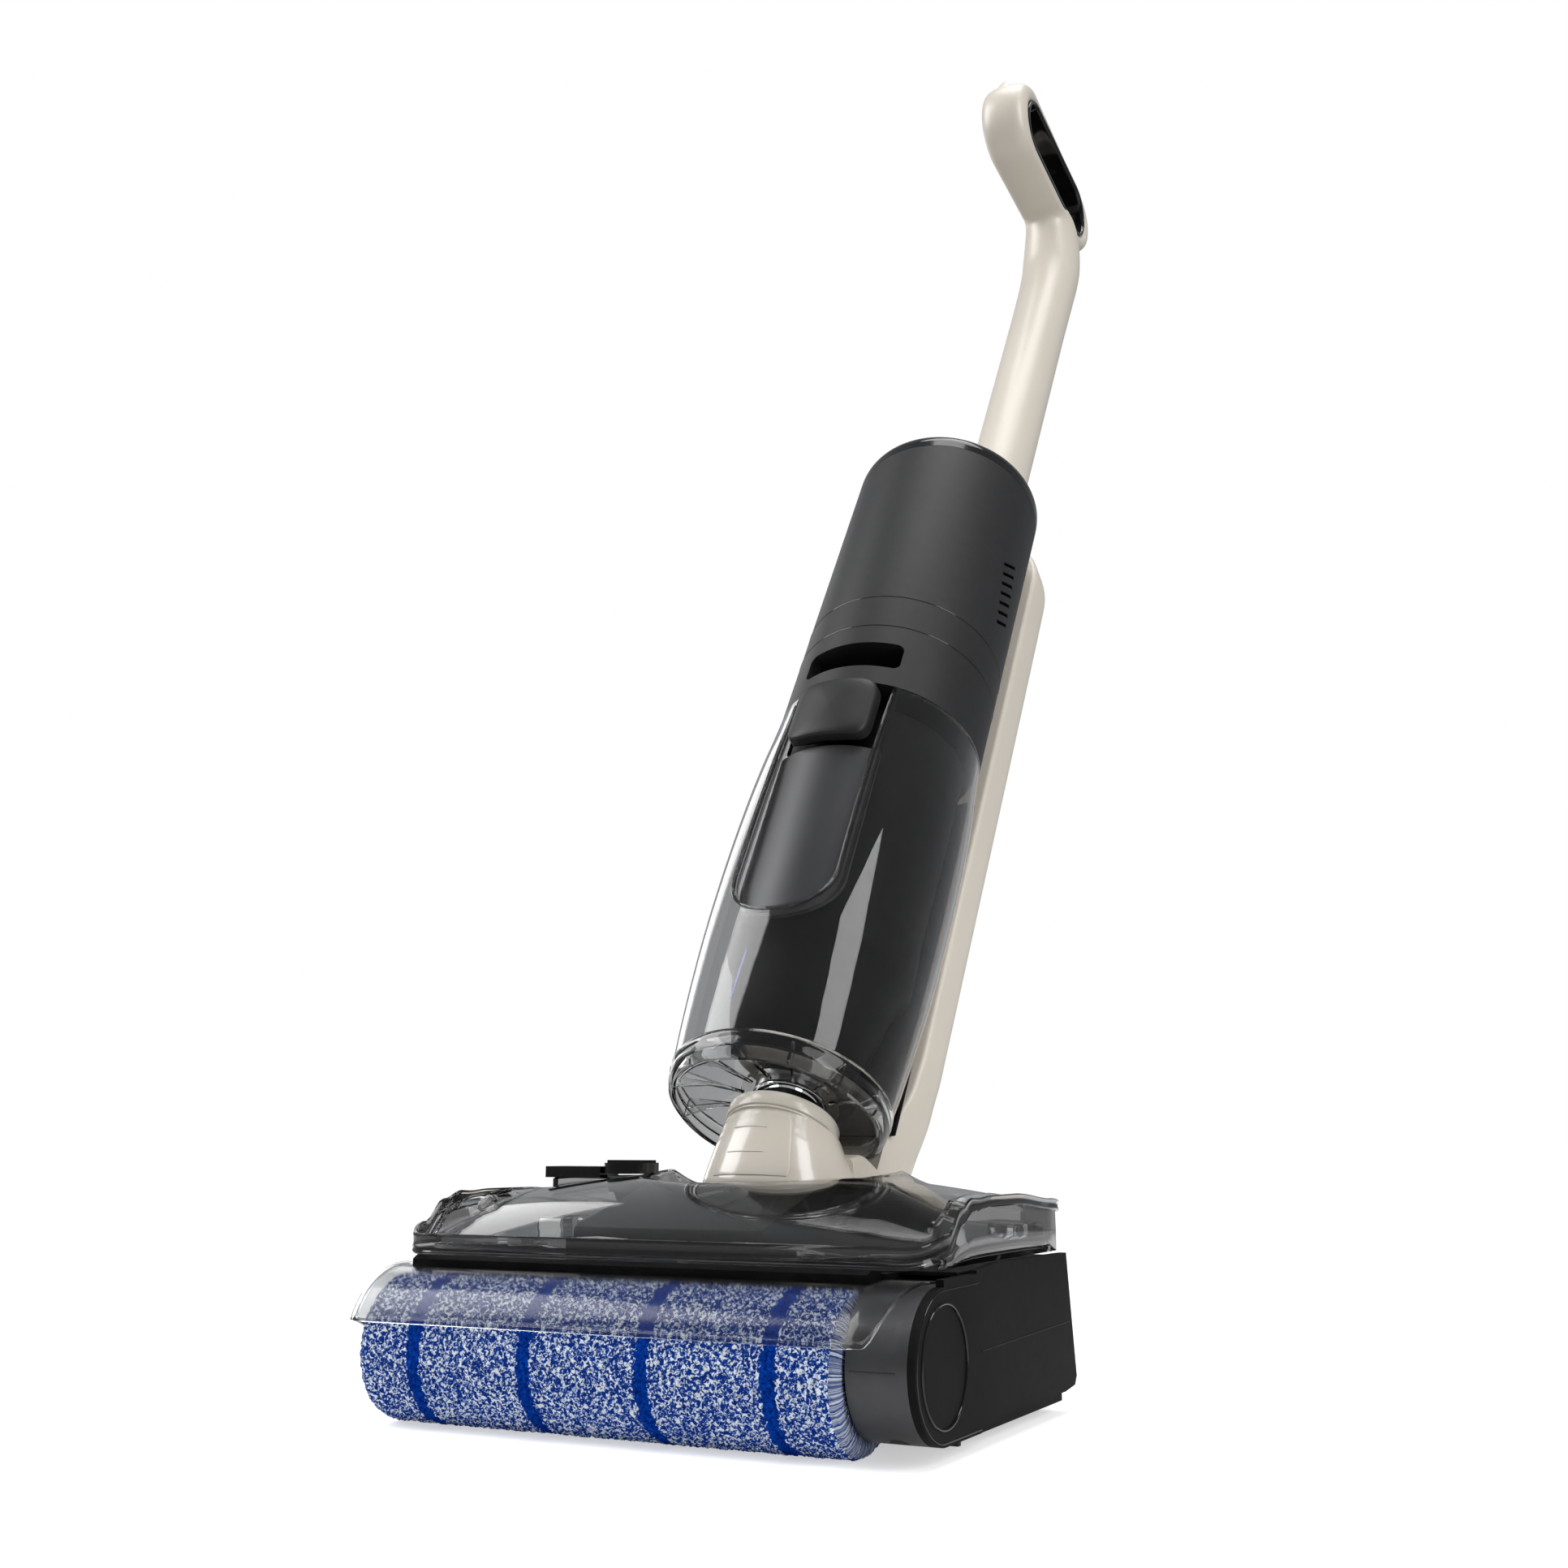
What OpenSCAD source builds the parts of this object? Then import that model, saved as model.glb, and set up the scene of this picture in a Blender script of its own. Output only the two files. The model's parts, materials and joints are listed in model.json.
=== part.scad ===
// Cordless wet and dry floor washer, head flat on the floor and body leaning back.
// Head: microfibre roller, drive, clean water tank. Body: dirty water tank, motor, battery, handle.
// X runs across the head, the front faces -Y and Z is up. The origin is on the floor.

/* [Head] */
// Width of the head across its side covers
head_w = 282; // [270:1:300]
// Depth from the roller axis to the rear of the head
head_rear = 172; // [170:1:176]
// Height of the water tank's dome above the floor
dome_top = 115; // [114:0.5:116]
// Height of the dark side covers
side_top = 75.5; // [74:0.5:76]
// Half width of the gap that the body folds down into
gap_half = 56; // [55:0.5:60]

/* [Roller] */
// Radius of the roller over its pile
roller_r = 34; // [33:0.5:34]
// Length of the roller
roller_l = 247; // [244:1:248]
// Radius of the roller's core tube
core_r = 21; // [20:0.5:22]

/* [Wheels] */
// Radius of a rear wheel
wheel_r = 22; // [21:0.5:23]
// Distance of the wheel axles behind the roller axis
wheel_y = 152; // [150:1:154]

/* [Body] */
// Lean of the body back from upright, in degrees
lean = 31.9; // [25:0.1:35]
// Height of the recline hinge above the floor
pivot_z = 75; // [74:0.5:76]
// Distance of the recline hinge behind the roller axis
pivot_y = 125; // [124:0.5:126]
// Distance of the hinge behind the axis of the tank and motor housing
axis_off = 37.3; // [36:0.1:38]
// Radius of the motor housing
body_r = 62.5; // [61:0.5:63]
// Radius of the dirty water tank at its foot
tank_foot_r = 59; // [58:0.5:60]
// Half width of the beige spine
spine_half = 50; // [48:0.5:52]

/* [Handle] */
// Radius of the handle tube
tube_r = 22; // [21:0.5:22]
// Half width of the grip loop across the hand
grip_half = 19; // [17:0.5:20]

/* [Hidden] */
$fn = 96;
eps = 0.01;

// Front and rear ends of the whole machine, from which the origin is set between them
front_y = -34.5;
rear_y = 694.5;
shift_y = -(front_y + rear_y) / 2;

half_w = head_w / 2;
roller_x0 = -half_w + 2.5;
roller_x1 = roller_x0 + roller_l;
// Stations along the body, measured up from the recline hinge
foot_s = 54.8;
ring_s = foot_s + 15;
glass_top_s = ring_s + 245;
lid_top_s = ring_s + 294;
seam_s = ring_s + 320;
cap_s = ring_s + 471;
cap_top_s = cap_s + 17;
collar_s = ring_s - 18;
neck_top_s = ring_s - 10;
neck_y = 10;
neck_tilt = 24.5;
neck_h0 = 28;
back_flat = 51;
tray_y = 54.5;
tray_t = 3;
spine_back_y = 90;
tube_y = 57;
tube_s0 = ring_s + 400;
tube_s1 = ring_s + 854;
grip_s = ring_s + 900;
pin_r = 8;
run_gap = 0.06;
seam_gap = 0.4;
beige = [0.80, 0.77, 0.72];
charcoal = [0.17, 0.17, 0.18];
black = [0.06, 0.06, 0.07];
smoke = [0.35, 0.35, 0.36, 0.45];

// Head pieces, in a frame whose Y starts at the roller axis
module head_frame()
    translate([0, shift_y, 0])
        children();

// Body pieces, in a frame whose Z runs up the axis of the tank from the recline hinge's station
module body_frame()
    head_frame()
        translate([0, pivot_y, pivot_z])
            rotate([-lean, 0, 0])
                translate([0, -axis_off, 0])
                    children();

// Neck pieces, in a frame whose Z runs from the hinge to the middle of the neck's collar
module neck_frame()
    translate([0, axis_off, 0])
        rotate([neck_tilt, 0, 0])
            children();

// A solid drawn as a side outline of (y, z) points and spread across X from x0 to x1
module across(x0, x1)
    translate([x0, 0, 0])
        rotate([90, 0, 90])
            linear_extrude(x1 - x0)
                children();

// A cylinder about an X-direction axis through (y, z)
module rod_x(x0, x1, y, z, r)
    translate([x0, y, z])
        rotate([0, 90, 0])
            cylinder(h = x1 - x0, r = r);

module box(x0, x1, y0, y1, z0, z1)
    translate([x0, y0, z0])
        cube([x1 - x0, y1 - y0, z1 - z0]);

module both_sides() {
    children();
    mirror([1, 0, 0])
        children();
}

// ---- Head: frame and covers ----

wheel_x0 = 86;
wheel_x1 = 106;
deck_top = 72;
floor_gap = 5;

module chassis_deck()
    difference() {
        union() {
            box(-half_w + 4, half_w - 4, 40, head_rear - 4, 9, 24);
            across(-half_w + 4, half_w - 31.5)
                difference() {
                    translate([0, roller_r])
                        circle(39.5);
                    translate([0, roller_r])
                        circle(36.5);
                    translate([-60, -10])
                        square([68, 120]);
                    translate([0, -10])
                        square([60, 18]);
                    translate([-10, deck_top - 4])
                        square([60, 30]);
                }
            both_sides()
                box(64, 70, 46, head_rear - 6, 20, deck_top);
            both_sides()
                box(112, 118, 82, head_rear - 6, 20, deck_top);
            both_sides()
                box(64, 118, 118, 122, 20, deck_top);
        }
        both_sides()
            box(wheel_x0 - 4, wheel_x1 + 4, wheel_y - 25, head_rear + 5, 0, 60);
        box(-gap_half, gap_half, 108, head_rear + 5, 14, 90);
        both_sides()
            rod_x(wheel_x0 - 11, wheel_x1 + 10, wheel_y, wheel_r, 3.01);
    }

module pivot_post()
    difference() {
        union() {
            rod_x(44, 52, pivot_y, pivot_z, 15);
            box(44, 52, pivot_y - 15, pivot_y + 15, 20, pivot_z);
        }
        rod_x(40, 60, pivot_y, pivot_z, pin_r);
    }

module chassis()
    color(black)
        head_frame() {
            chassis_deck();
            both_sides()
                pivot_post();
        }

module base_plate()
    color(black)
        head_frame()
            difference() {
                box(-half_w + 5, half_w - 5, 42, head_rear - 5, floor_gap, 8.9);
                both_sides()
                    box(wheel_x0 - 4, wheel_x1 + 4, wheel_y - 25, head_rear + 5, 0, 20);
                both_sides()
                    for (y = [52, 118], x = [20, 126])
                        translate([x, y, 0])
                            cylinder(h = 20, r = 2.5);
            }

module base_screws()
    color("silver")
        head_frame()
            both_sides()
                for (y = [52, 118], x = [20, 126])
                    translate([x, y, floor_gap + 0.6])
                        cylinder(h = 3.3, r = 2.4);

// Side outline of the head behind the roller, (y, z)
function side_outline() = [[40, 7.5], [72, 11], [158, 10.5], [head_rear + 1, 12], [head_rear + 4, 16],
    [head_rear - 7, side_top], [101, side_top + 0.8], [63, side_top + 0.8], [42, side_top - 1]];

module left_side_cover()
    color(black)
        head_frame()
            union() {
                across(-half_w, -half_w + 3.6)
                    polygon(side_outline());
                across(-half_w, -half_w + 2)
                    translate([12, 8])
                        square([30, 62]);
            }

module right_side_cover()
    color(black)
        head_frame()
            difference() {
                across(half_w - 3.6, half_w)
                    union() {
                        polygon(side_outline());
                        translate([4, 38.5])
                            circle(31.5);
                        translate([4, 7])
                            square([40, 66]);
                    }
                rod_x(half_w - 1.6, half_w + 2, 4, 38.5, 25);
            }

module drive_side_cap()
    color(charcoal)
        head_frame()
            rod_x(half_w - 1.6, half_w - 0.2, 4, 38.5, 24.7);

module drive_housing()
    color(charcoal)
        head_frame()
            difference() {
                across(half_w - 31, half_w - 3.7)
                    union() {
                        translate([4, 38.5])
                            circle(31.5);
                        translate([4, 7])
                            square([34, 63]);
                    }
                across(half_w - 28, half_w + 5)
                    union() {
                        translate([4, 38.5])
                            circle(28.8);
                        translate([4, 9.7])
                            square([50, 57.6]);
                    }
                rod_x(half_w - 40, half_w - 20, 0, roller_r, 10.4);
                translate([half_w - 16, -8, 7])
                    sphere(5);
            }

module roller_bracket()
    color(black)
        head_frame()
            difference() {
                union() {
                    rod_x(-half_w, -half_w + 1.6, 0, roller_r, 24);
                    box(-half_w, -half_w + 1.6, 0, 11.9, 16, 52);
                }
                rod_x(-half_w - 5, -half_w + 5, 0, roller_r, 5.06);
                box(-half_w - 5, -half_w + 5, 11.8, 40, 0, 90);
            }

module scraper_bar()
    color(black)
        head_frame()
            union() {
                box(-half_w + 6, half_w - 32, 16, 30, 68.2, 73.5);
                box(-half_w + 6, half_w - 32, 28, 38, 68.2, 71);
            }

module spray_bar()
    color("dimgray")
        head_frame()
            difference() {
                rod_x(-110, 96, 42, 66, 3.5);
                rod_x(-109, 95, 42, 66, 2.2);
            }

module suction_duct()
    color("dimgray")
        head_frame()
            difference() {
                box(-34, 34, 41, 48, 26, 60);
                box(-31, 31, 35, 50, 29, 57);
            }

module rear_squeegee()
    color(black)
        head_frame() {
            both_sides()
                box(6, 96, 36, 39.8, 2, 7.8);
            box(half_w - 30, half_w - 8, 36.5, 39.8, 2, 6.9);
        }

module wheel_axles()
    color("silver")
        head_frame()
            both_sides()
                rod_x(wheel_x0 - 10, wheel_x1 + 9, wheel_y, wheel_r, 3);

module recline_pins()
    color("silver")
        head_frame()
            both_sides()
                rod_x(20, 52, pivot_y, pivot_z, pin_r - 0.01);

// ---- Head: clear dome, wings and lamps ----

// Block under the dome's top surface, lowered by d and drawn in all round by d
module dome_block(d, bottom)
    intersection() {
        translate([0, 0, bottom])
            linear_extrude(60)
                hull()
                    for (x = [-1, 1]) {
                        translate([x * (half_w - 2 - 18), 13])
                            circle(18 - d);
                        translate([x * (half_w - 2 - 14), head_rear - 16])
                            circle(14 - d);
                    }
        translate([0, dome_y, dome_top - dome_r - d])
            rotate([0, 90, 0])
                cylinder(h = 400, r = dome_r, center = true, $fn = 180);
        translate([0, 0, dome_top - crown_r - d])
            rotate([90, 0, 0])
                cylinder(h = 600, r = crown_r, center = true, $fn = 360);
    }

tank_floor = 75.6;
wall = 2.4;
dome_y = 100;
dome_r = 190;
crown_r = 773;
duct_r = 66;
bowl_r = 62;
cap_x = -80.5;
cap_y = 112;

module hinge_ball(r)
    translate([0, pivot_y, pivot_z])
        sphere(r);

// Wider top of the bowl, where the neck leans over its rim
module bowl_rim(r)
    intersection() {
        hinge_ball(r);
        box(-90, 90, 30, 250, 100, 200);
    }

module duct_column(grow)
    translate([0, pivot_y, deck_top + 0.5])
        cylinder(h = 60, r = duct_r + grow);

module clean_tank()
    color(smoke)
        head_frame()
            difference() {
                dome_block(0, tank_floor);
                difference() {
                    dome_block(wall, tank_floor + wall);
                    duct_column(wall + 0.4);
                }
                intersection() {
                    dome_block(wall, tank_floor - 1);
                    duct_column(0.4);
                }
                both_sides()
                    box(104, 200, 34, 250, 0, 93);
                both_sides()
                    box(97, 120, 40, 44, 93, 95);
                box(-gap_half, gap_half, pivot_y, 250, 0, 200);
                hinge_ball(bowl_r + 2.4);
                bowl_rim(bowl_r + 6.4);
                translate([cap_x, cap_y, 80])
                    cylinder(h = 60, r = 12);
            }

module duct_cover()
    color(charcoal)
        head_frame()
            difference() {
                intersection() {
                    dome_block(wall + 0.4, deck_top + 0.5);
                    duct_column(0);
                }
                box(-gap_half, gap_half, pivot_y, 250, 0, 200);
                hinge_ball(bowl_r);
                bowl_rim(bowl_r + 6);
            }

module wing_cover()
    difference() {
        box(104.5, half_w - 2, 34.5, head_rear - 9, side_top + 1.2, 92.5);
        box(106.5, half_w - 4, 36.5, head_rear - 11, side_top + 3.2, 90.5);
    }

module right_wing_cover()
    color(smoke)
        head_frame()
            wing_cover();

module left_wing_cover()
    color(smoke)
        head_frame()
            mirror([1, 0, 0])
                wing_cover();

module lamp_lenses()
    color([0.9, 0.9, 0.92, 0.5])
        head_frame()
            both_sides()
                difference() {
                    box(108, half_w - 5, 100, 150, side_top + 3.6, 90);
                    box(110, half_w - 7, 102, 148, side_top + 5.6, 88);
                }

module filler_funnel()
    color("dimgray")
        head_frame()
            difference() {
                union() {
                    translate([cap_x, cap_y, 84])
                        cylinder(h = 20, r1 = 2, r2 = 9);
                    translate([cap_x, cap_y, 104])
                        cylinder(h = 8, r = 11.8);
                }
                translate([cap_x, cap_y, 83])
                    cylinder(h = 21, r1 = 0.5, r2 = 7.5);
                translate([cap_x, cap_y, 103.9])
                    cylinder(h = 20, r = 7.5);
            }

module filler_cap()
    color(black)
        head_frame()
            union() {
                translate([cap_x, cap_y, 112.9])
                    cylinder(h = 5.6, r = 14.5);
                translate([cap_x - 14, cap_y - 2, 118.4])
                    cube([28, 4, 1.5]);
            }

module clean_tank_latch()
    color(black)
        head_frame()
            union() {
                box(-130, -95, 104, 122, 110.7, 116.5);
                box(-112, -96, 108, 118, 109.9, 111);
            }

// ---- Head: roller, its drive and its cover ----

pile_r0 = core_r + 0.02;

module roller_core()
    color("lightgray")
        head_frame()
            difference() {
                rod_x(roller_x0 + 4, roller_x1 - 4, 0, roller_r, core_r);
                rod_x(roller_x0, roller_x1, 0, roller_r, core_r - 2.5);
            }

module roller_pile()
    color([0.25, 0.40, 0.72])
        head_frame()
            difference() {
                rod_x(roller_x0, roller_x1, 0, roller_r, roller_r);
                rod_x(roller_x0 - 1, roller_x1 + 1, 0, roller_r, pile_r0);
            }

module roller_end_cap()
    color("gray")
        head_frame()
            union() {
                rod_x(roller_x0 + 0.5, roller_x0 + 8, 0, roller_r, core_r - 2.6);
                rod_x(-half_w + 0.1, roller_x0 + 1, 0, roller_r, 5);
            }

pulley_x0 = half_w - 20;
pulley_x1 = half_w - 8;
motor_y = 62;
motor_z = 42;
big_pulley_r = 18;
small_pulley_r = 9;

module roller_pulley()
    color("gray")
        head_frame()
            union() {
                rod_x(roller_x1 - 8, roller_x1 - 0.5, 0, roller_r, core_r - 2.6);
                rod_x(roller_x1 - 1, pulley_x0 + 1, 0, roller_r, 10.3);
                rod_x(pulley_x0, pulley_x1, 0, roller_r, big_pulley_r);
            }

module motor_pulley()
    color("gray")
        head_frame()
            union() {
                rod_x(pulley_x0, pulley_x1, motor_y, motor_z, small_pulley_r);
                rod_x(half_w - 40, pulley_x0 + 1, motor_y, motor_z, 2.5);
            }

module drive_motor()
    color("silver")
        head_frame()
            difference() {
                rod_x(71, half_w - 24, motor_y, motor_z, 16.5);
                rod_x(half_w - 42, half_w - 20, motor_y, motor_z, 2.56);
            }

module drive_belt()
    color(black)
        head_frame()
            across(pulley_x0 + 1, pulley_x1 - 1)
                difference() {
                    hull() {
                        translate([0, roller_r])
                            circle(big_pulley_r + 2.3);
                        translate([motor_y, motor_z])
                            circle(small_pulley_r + 2.3);
                    }
                    hull() {
                        translate([0, roller_r])
                            circle(big_pulley_r + 0.3);
                        translate([motor_y, motor_z])
                            circle(small_pulley_r + 0.3);
                    }
                }

cover_in = roller_r + 1.6;
cover_out = roller_r + 3.2;

module cover_section()
    difference() {
        translate([0, roller_r])
            circle(cover_out);
        translate([0, roller_r])
            circle(cover_in);
        translate([-60, -20])
            square([120, 68]);
        translate([10, -20])
            square([80, 160]);
    }

module roller_cover()
    color(smoke)
        head_frame()
            across(-half_w + 2, half_w - 31.4)
                cover_section();

module roller_cover_end()
    color(smoke)
        head_frame()
            across(-half_w, -half_w + 1.9)
                difference() {
                    translate([0, roller_r])
                        circle(cover_out);
                    translate([0, roller_r])
                        circle(cover_in - 10.8);
                    translate([-60, -20])
                        square([120, 68]);
                    translate([10, -20])
                        square([80, 160]);
                }

// ---- Head: rear wheels ----

module wheel_hub()
    difference() {
        rod_x(wheel_x0, wheel_x1, wheel_y, wheel_r, wheel_r - 3);
        rod_x(wheel_x0 - 1, wheel_x1 + 1, wheel_y, wheel_r, 3.06);
    }

module wheel_tyre()
    difference() {
        rod_x(wheel_x0, wheel_x1, wheel_y, wheel_r, wheel_r);
        rod_x(wheel_x0 - 1, wheel_x1 + 1, wheel_y, wheel_r, wheel_r - 3);
    }

module right_wheel()
    color("gray")
        head_frame()
            wheel_hub();

module right_tyre()
    color(black)
        head_frame()
            wheel_tyre();

module left_wheel()
    color("gray")
        head_frame()
            mirror([1, 0, 0])
                wheel_hub();

module left_tyre()
    color(black)
        head_frame()
            mirror([1, 0, 0])
                wheel_tyre();

// ---- Neck ----

yoke_r = 34;
spigot_r = 15;
neck_r0 = 41;
neck_r1 = 30;
neck_wall = 3;

// The ball turns on the hinge pins, and the neck's spigot turns in its bore
module recline_yoke()
    color(beige)
        body_frame()
            translate([0, axis_off, 0])
                difference() {
                    intersection() {
                        sphere(yoke_r);
                        box(-32, 32, -60, 60, -26, 60);
                    }
                    both_sides()
                        rod_x(19, 50, 0, 0, pin_r + run_gap - 0.01);
                    translate([0, 0, 11])
                        cylinder(h = 60, r = spigot_r + run_gap);
                }

module neck_cone(grow)
    neck_frame()
        union() {
            translate([0, 0, neck_h0])
                cylinder(h = 8.1, r = neck_r0 + grow);
            translate([0, 0, neck_h0 + 8])
                cylinder(h = 36, r1 = neck_r0 + grow, r2 = neck_r1 - 1 + grow);
        }

module neck_window(gap)
    box(-20 + gap, 20 - gap, -60, -8, ring_s - 46 + gap, ring_s - 19 - gap);

module neck_shell()
    color(beige)
        body_frame()
            difference() {
                union() {
                    intersection() {
                        neck_cone(0);
                        box(-60, 60, -60, 90, 0, collar_s);
                    }
                    translate([0, neck_y, collar_s - 0.1])
                        cylinder(h = neck_top_s - collar_s + 0.1, r = neck_r1);
                }
                intersection() {
                    neck_cone(-neck_wall);
                    box(-60, 60, -60, 90, 0, collar_s - 4);
                }
                neck_frame()
                    cylinder(h = neck_h0 + 0.2, r = neck_r0 - neck_wall);
                translate([0, neck_y, 0])
                    cylinder(h = 120, r = 16.05);
                neck_window(0);
            }

module neck_spigot()
    color(beige)
        body_frame()
            difference() {
                union() {
                    translate([0, axis_off, 11.5])
                        cylinder(h = collar_s - 4.1 - 11.5, r = spigot_r);
                    intersection() {
                        neck_cone(-neck_wall - 0.02);
                        box(-60, 60, -60, 90, 36, 42);
                    }
                }
                translate([0, neck_y, 0])
                    cylinder(h = 120, r = 16.05);
            }

module neck_panel()
    color(beige)
        body_frame()
            intersection() {
                difference() {
                    neck_cone(0.6);
                    neck_cone(-neck_wall + 0.6);
                }
                neck_window(0.3);
            }

module neck_hose()
    color("dimgray")
        body_frame()
            difference() {
                translate([0, neck_y, 34])
                    cylinder(h = neck_top_s - 34, r = 16);
                translate([0, neck_y, 0])
                    cylinder(h = 200, r = 13.5);
            }

// ---- Body: spine and battery ----

// Front edge of the spine from its top down to the neck, as (y, s) with s from the tank ring
function spine_front() = [[tray_y, 500], [tray_y, 60], [53, 26], [44, 6], [32, -12]];

// Rear edge of the spine from the neck up to its top
function spine_rear() = [[32, -30], [50, -30], [66, -22], [77, -8], [84, 10], [88, 34], [spine_back_y, 60],
    [spine_back_y, 455], [82, 490], [70, 508]];

function raised(points) = [for (p = points) [p[0], p[1] + ring_s]];

// Width outline of the spine, (x, s), round at the top and narrower at the neck
module spine_width()
    translate([0, ring_s])
        union() {
            translate([-spine_half, 62])
                square([2 * spine_half, 400]);
            translate([0, 462])
                difference() {
                    circle(spine_half);
                    translate([-100, -200])
                        square(200);
                }
            polygon([[-spine_half, 62.1], [spine_half, 62.1], [spine_half, 40], [42, -6], [40, -60],
                [-40, -60], [-42, -6], [-spine_half, 40]]);
        }

module spine_solid(y0)
    intersection() {
        across(-100, 100)
            intersection() {
                polygon(concat(raised(spine_front()), raised(spine_rear())));
                translate([y0, -200])
                    square([300, 1000]);
            }
        translate([0, 200, 0])
            rotate([90, 0, 0])
                linear_extrude(400)
                    spine_width();
    }

module spine_tray()
    color(beige)
        body_frame()
            difference() {
                intersection() {
                    spine_solid(0);
                    box(-60, 60, 0, tray_y + tray_t, ring_s - 80, ring_s + 600);
                }
                intersection() {
                    translate([0, 0, foot_s - 1])
                        cylinder(h = 80, r = tank_foot_r + 3);
                    box(-100, 100, -100, tray_y - 1.5, 0, 300);
                }
                neck_cone(0.02);
                translate([0, neck_y, 0])
                    cylinder(h = neck_top_s + 1, r = neck_r1 + 0.02);
                translate([0, tube_y, tube_s0 - 1])
                    cylinder(h = 400, r = tube_r + 0.05);
            }

module spine_back()
    color(beige)
        body_frame()
            difference() {
                spine_solid(tray_y + tray_t + 0.02);
                box(-spine_half + 2.6, spine_half - 2.6, tray_y, spine_back_y - 3, ring_s + 64, ring_s + 452);
                neck_cone(0.02);
                translate([0, tube_y, tube_s0 - 1])
                    cylinder(h = 400, r = tube_r + 0.05);
            }

module battery_pack()
    color("dimgray")
        body_frame()
            box(-42, 42, tray_y + tray_t + 1, spine_back_y - 5, ring_s + 66, ring_s + 210);

// ---- Body: motor housing and cap ----

// The housing's back is flat against the spine and notched for the handle tube
module body_trim(s0, s1) {
    box(-100, 100, back_flat, 200, s0 - 1, s1 + 1);
    translate([0, tube_y, tube_s0 - 20])
        cylinder(h = 400, r = tube_r + 0.4);
}

module vent_slots()
    for (i = [0:6])
        translate([0, 0, ring_s + 349 + i * 8])
            rotate([0, 0, -2 - i])
                rotate([35, 0, 0])
                    box(55, 70, -7, 9, -1.2, 1.2);

module motor_housing()
    color(charcoal)
        body_frame()
            difference() {
                translate([0, 0, seam_s + seam_gap])
                    cylinder(h = cap_s - seam_s - seam_gap, r = body_r);
                difference() {
                    translate([0, 0, seam_s + 4])
                        cylinder(h = 200, r = body_r - 2.8);
                    box(-100, 100, back_flat - 2.8, 100, 0, 900);
                    translate([0, tube_y, tube_s0 - 23])
                        cylinder(h = 400, r = tube_r + 3.2);
                }
                cylinder(h = 900, r = 40);
                body_trim(seam_s, cap_s);
                vent_slots();
                mirror([1, 0, 0])
                    vent_slots();
            }

module cap_profile()
    union() {
        square([body_r - 12, cap_top_s - cap_s]);
        square([body_r, cap_top_s - cap_s - 12]);
        translate([body_r - 12, cap_top_s - cap_s - 12])
            circle(12);
    }

module top_cap()
    color("black")
        body_frame()
            difference() {
                translate([0, 0, cap_s + 0.3])
                    rotate_extrude()
                        intersection() {
                            cap_profile();
                            square(100);
                        }
                translate([0, 0, cap_s])
                    cylinder(h = 12, r = body_r - 14);
                translate([0, -14, cap_top_s - 1.7])
                    cylinder(h = 5, r = 30.2);
                body_trim(cap_s, cap_top_s);
            }

module display_lens()
    color([0.1, 0.1, 0.12])
        body_frame()
            translate([0, -14, cap_top_s - 1.6])
                cylinder(h = 1.6, r = 30);

module suction_motor()
    color("silver")
        body_frame()
            difference() {
                union() {
                    translate([0, 0, seam_s + 24])
                        cylinder(h = 12, r = 40);
                    translate([0, 0, seam_s + 36])
                        cylinder(h = 60, r = 32);
                }
                translate([0, 0, seam_s + 20])
                    cylinder(h = 60, r = 3.06);
            }

module suction_impeller()
    color("gray")
        body_frame()
            union() {
                translate([0, 0, seam_s + 9])
                    cylinder(h = 3, r = 36);
                translate([0, 0, seam_s + 9])
                    cylinder(h = 14, r = 9);
                for (i = [0:8])
                    rotate([0, 0, i * 40])
                        translate([8, -1, seam_s + 11])
                            cube([27, 2, 10]);
                translate([0, 0, seam_s + 20])
                    cylinder(h = 40, r = 3);
            }

// ---- Body: dirty water tank ----

module tank_cone(inset)
    translate([0, 0, ring_s])
        cylinder(h = glass_top_s - ring_s, r1 = tank_foot_r - inset, r2 = body_r - inset);

// Front window of the tank, where the dark panel sits: round at its foot, as an (x, s) outline
module window_outline(gap)
    translate([0, ring_s])
        union() {
            translate([0, 104])
                circle(31.5 + gap);
            translate([-31.5 - gap, 104])
                square([63 + 2 * gap, 141.1]);
        }

module window_cut(gap)
    translate([0, -30, 0])
        rotate([90, 0, 0])
            linear_extrude(60)
                window_outline(gap);

module dirty_tank()
    color(smoke)
        body_frame()
            difference() {
                tank_cone(0);
                difference() {
                    tank_cone(2.6);
                    box(-100, 100, back_flat - 3, 100, 0, 900);
                    box(-100, 100, -100, 100, 0, ring_s + 2.6);
                }
                box(-100, 100, back_flat, 200, 0, 900);
                window_cut(0.2);
                translate([0, neck_y, 0])
                    cylinder(h = ring_s + 10, r = 19.2);
            }

module tank_base_ring()
    color(smoke)
        body_frame()
            difference() {
                translate([0, 0, foot_s])
                    cylinder(h = ring_s - foot_s - 0.02, r = tank_foot_r + 0.4);
                translate([0, 0, foot_s - 1])
                    cylinder(h = 40, r = tank_foot_r - 4.5);
                box(-100, 100, back_flat, 200, 0, 900);
            }

module inlet_tube()
    color([0.78, 0.76, 0.72, 0.7])
        body_frame()
            difference() {
                union() {
                    translate([0, neck_y, ring_s + 0.2])
                        cylinder(h = 180, r = 19);
                    translate([0, neck_y, ring_s + 2.8])
                        cylinder(h = 3, r = 27);
                }
                translate([0, neck_y, foot_s])
                    cylinder(h = 240, r = 16.5);
            }

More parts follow.
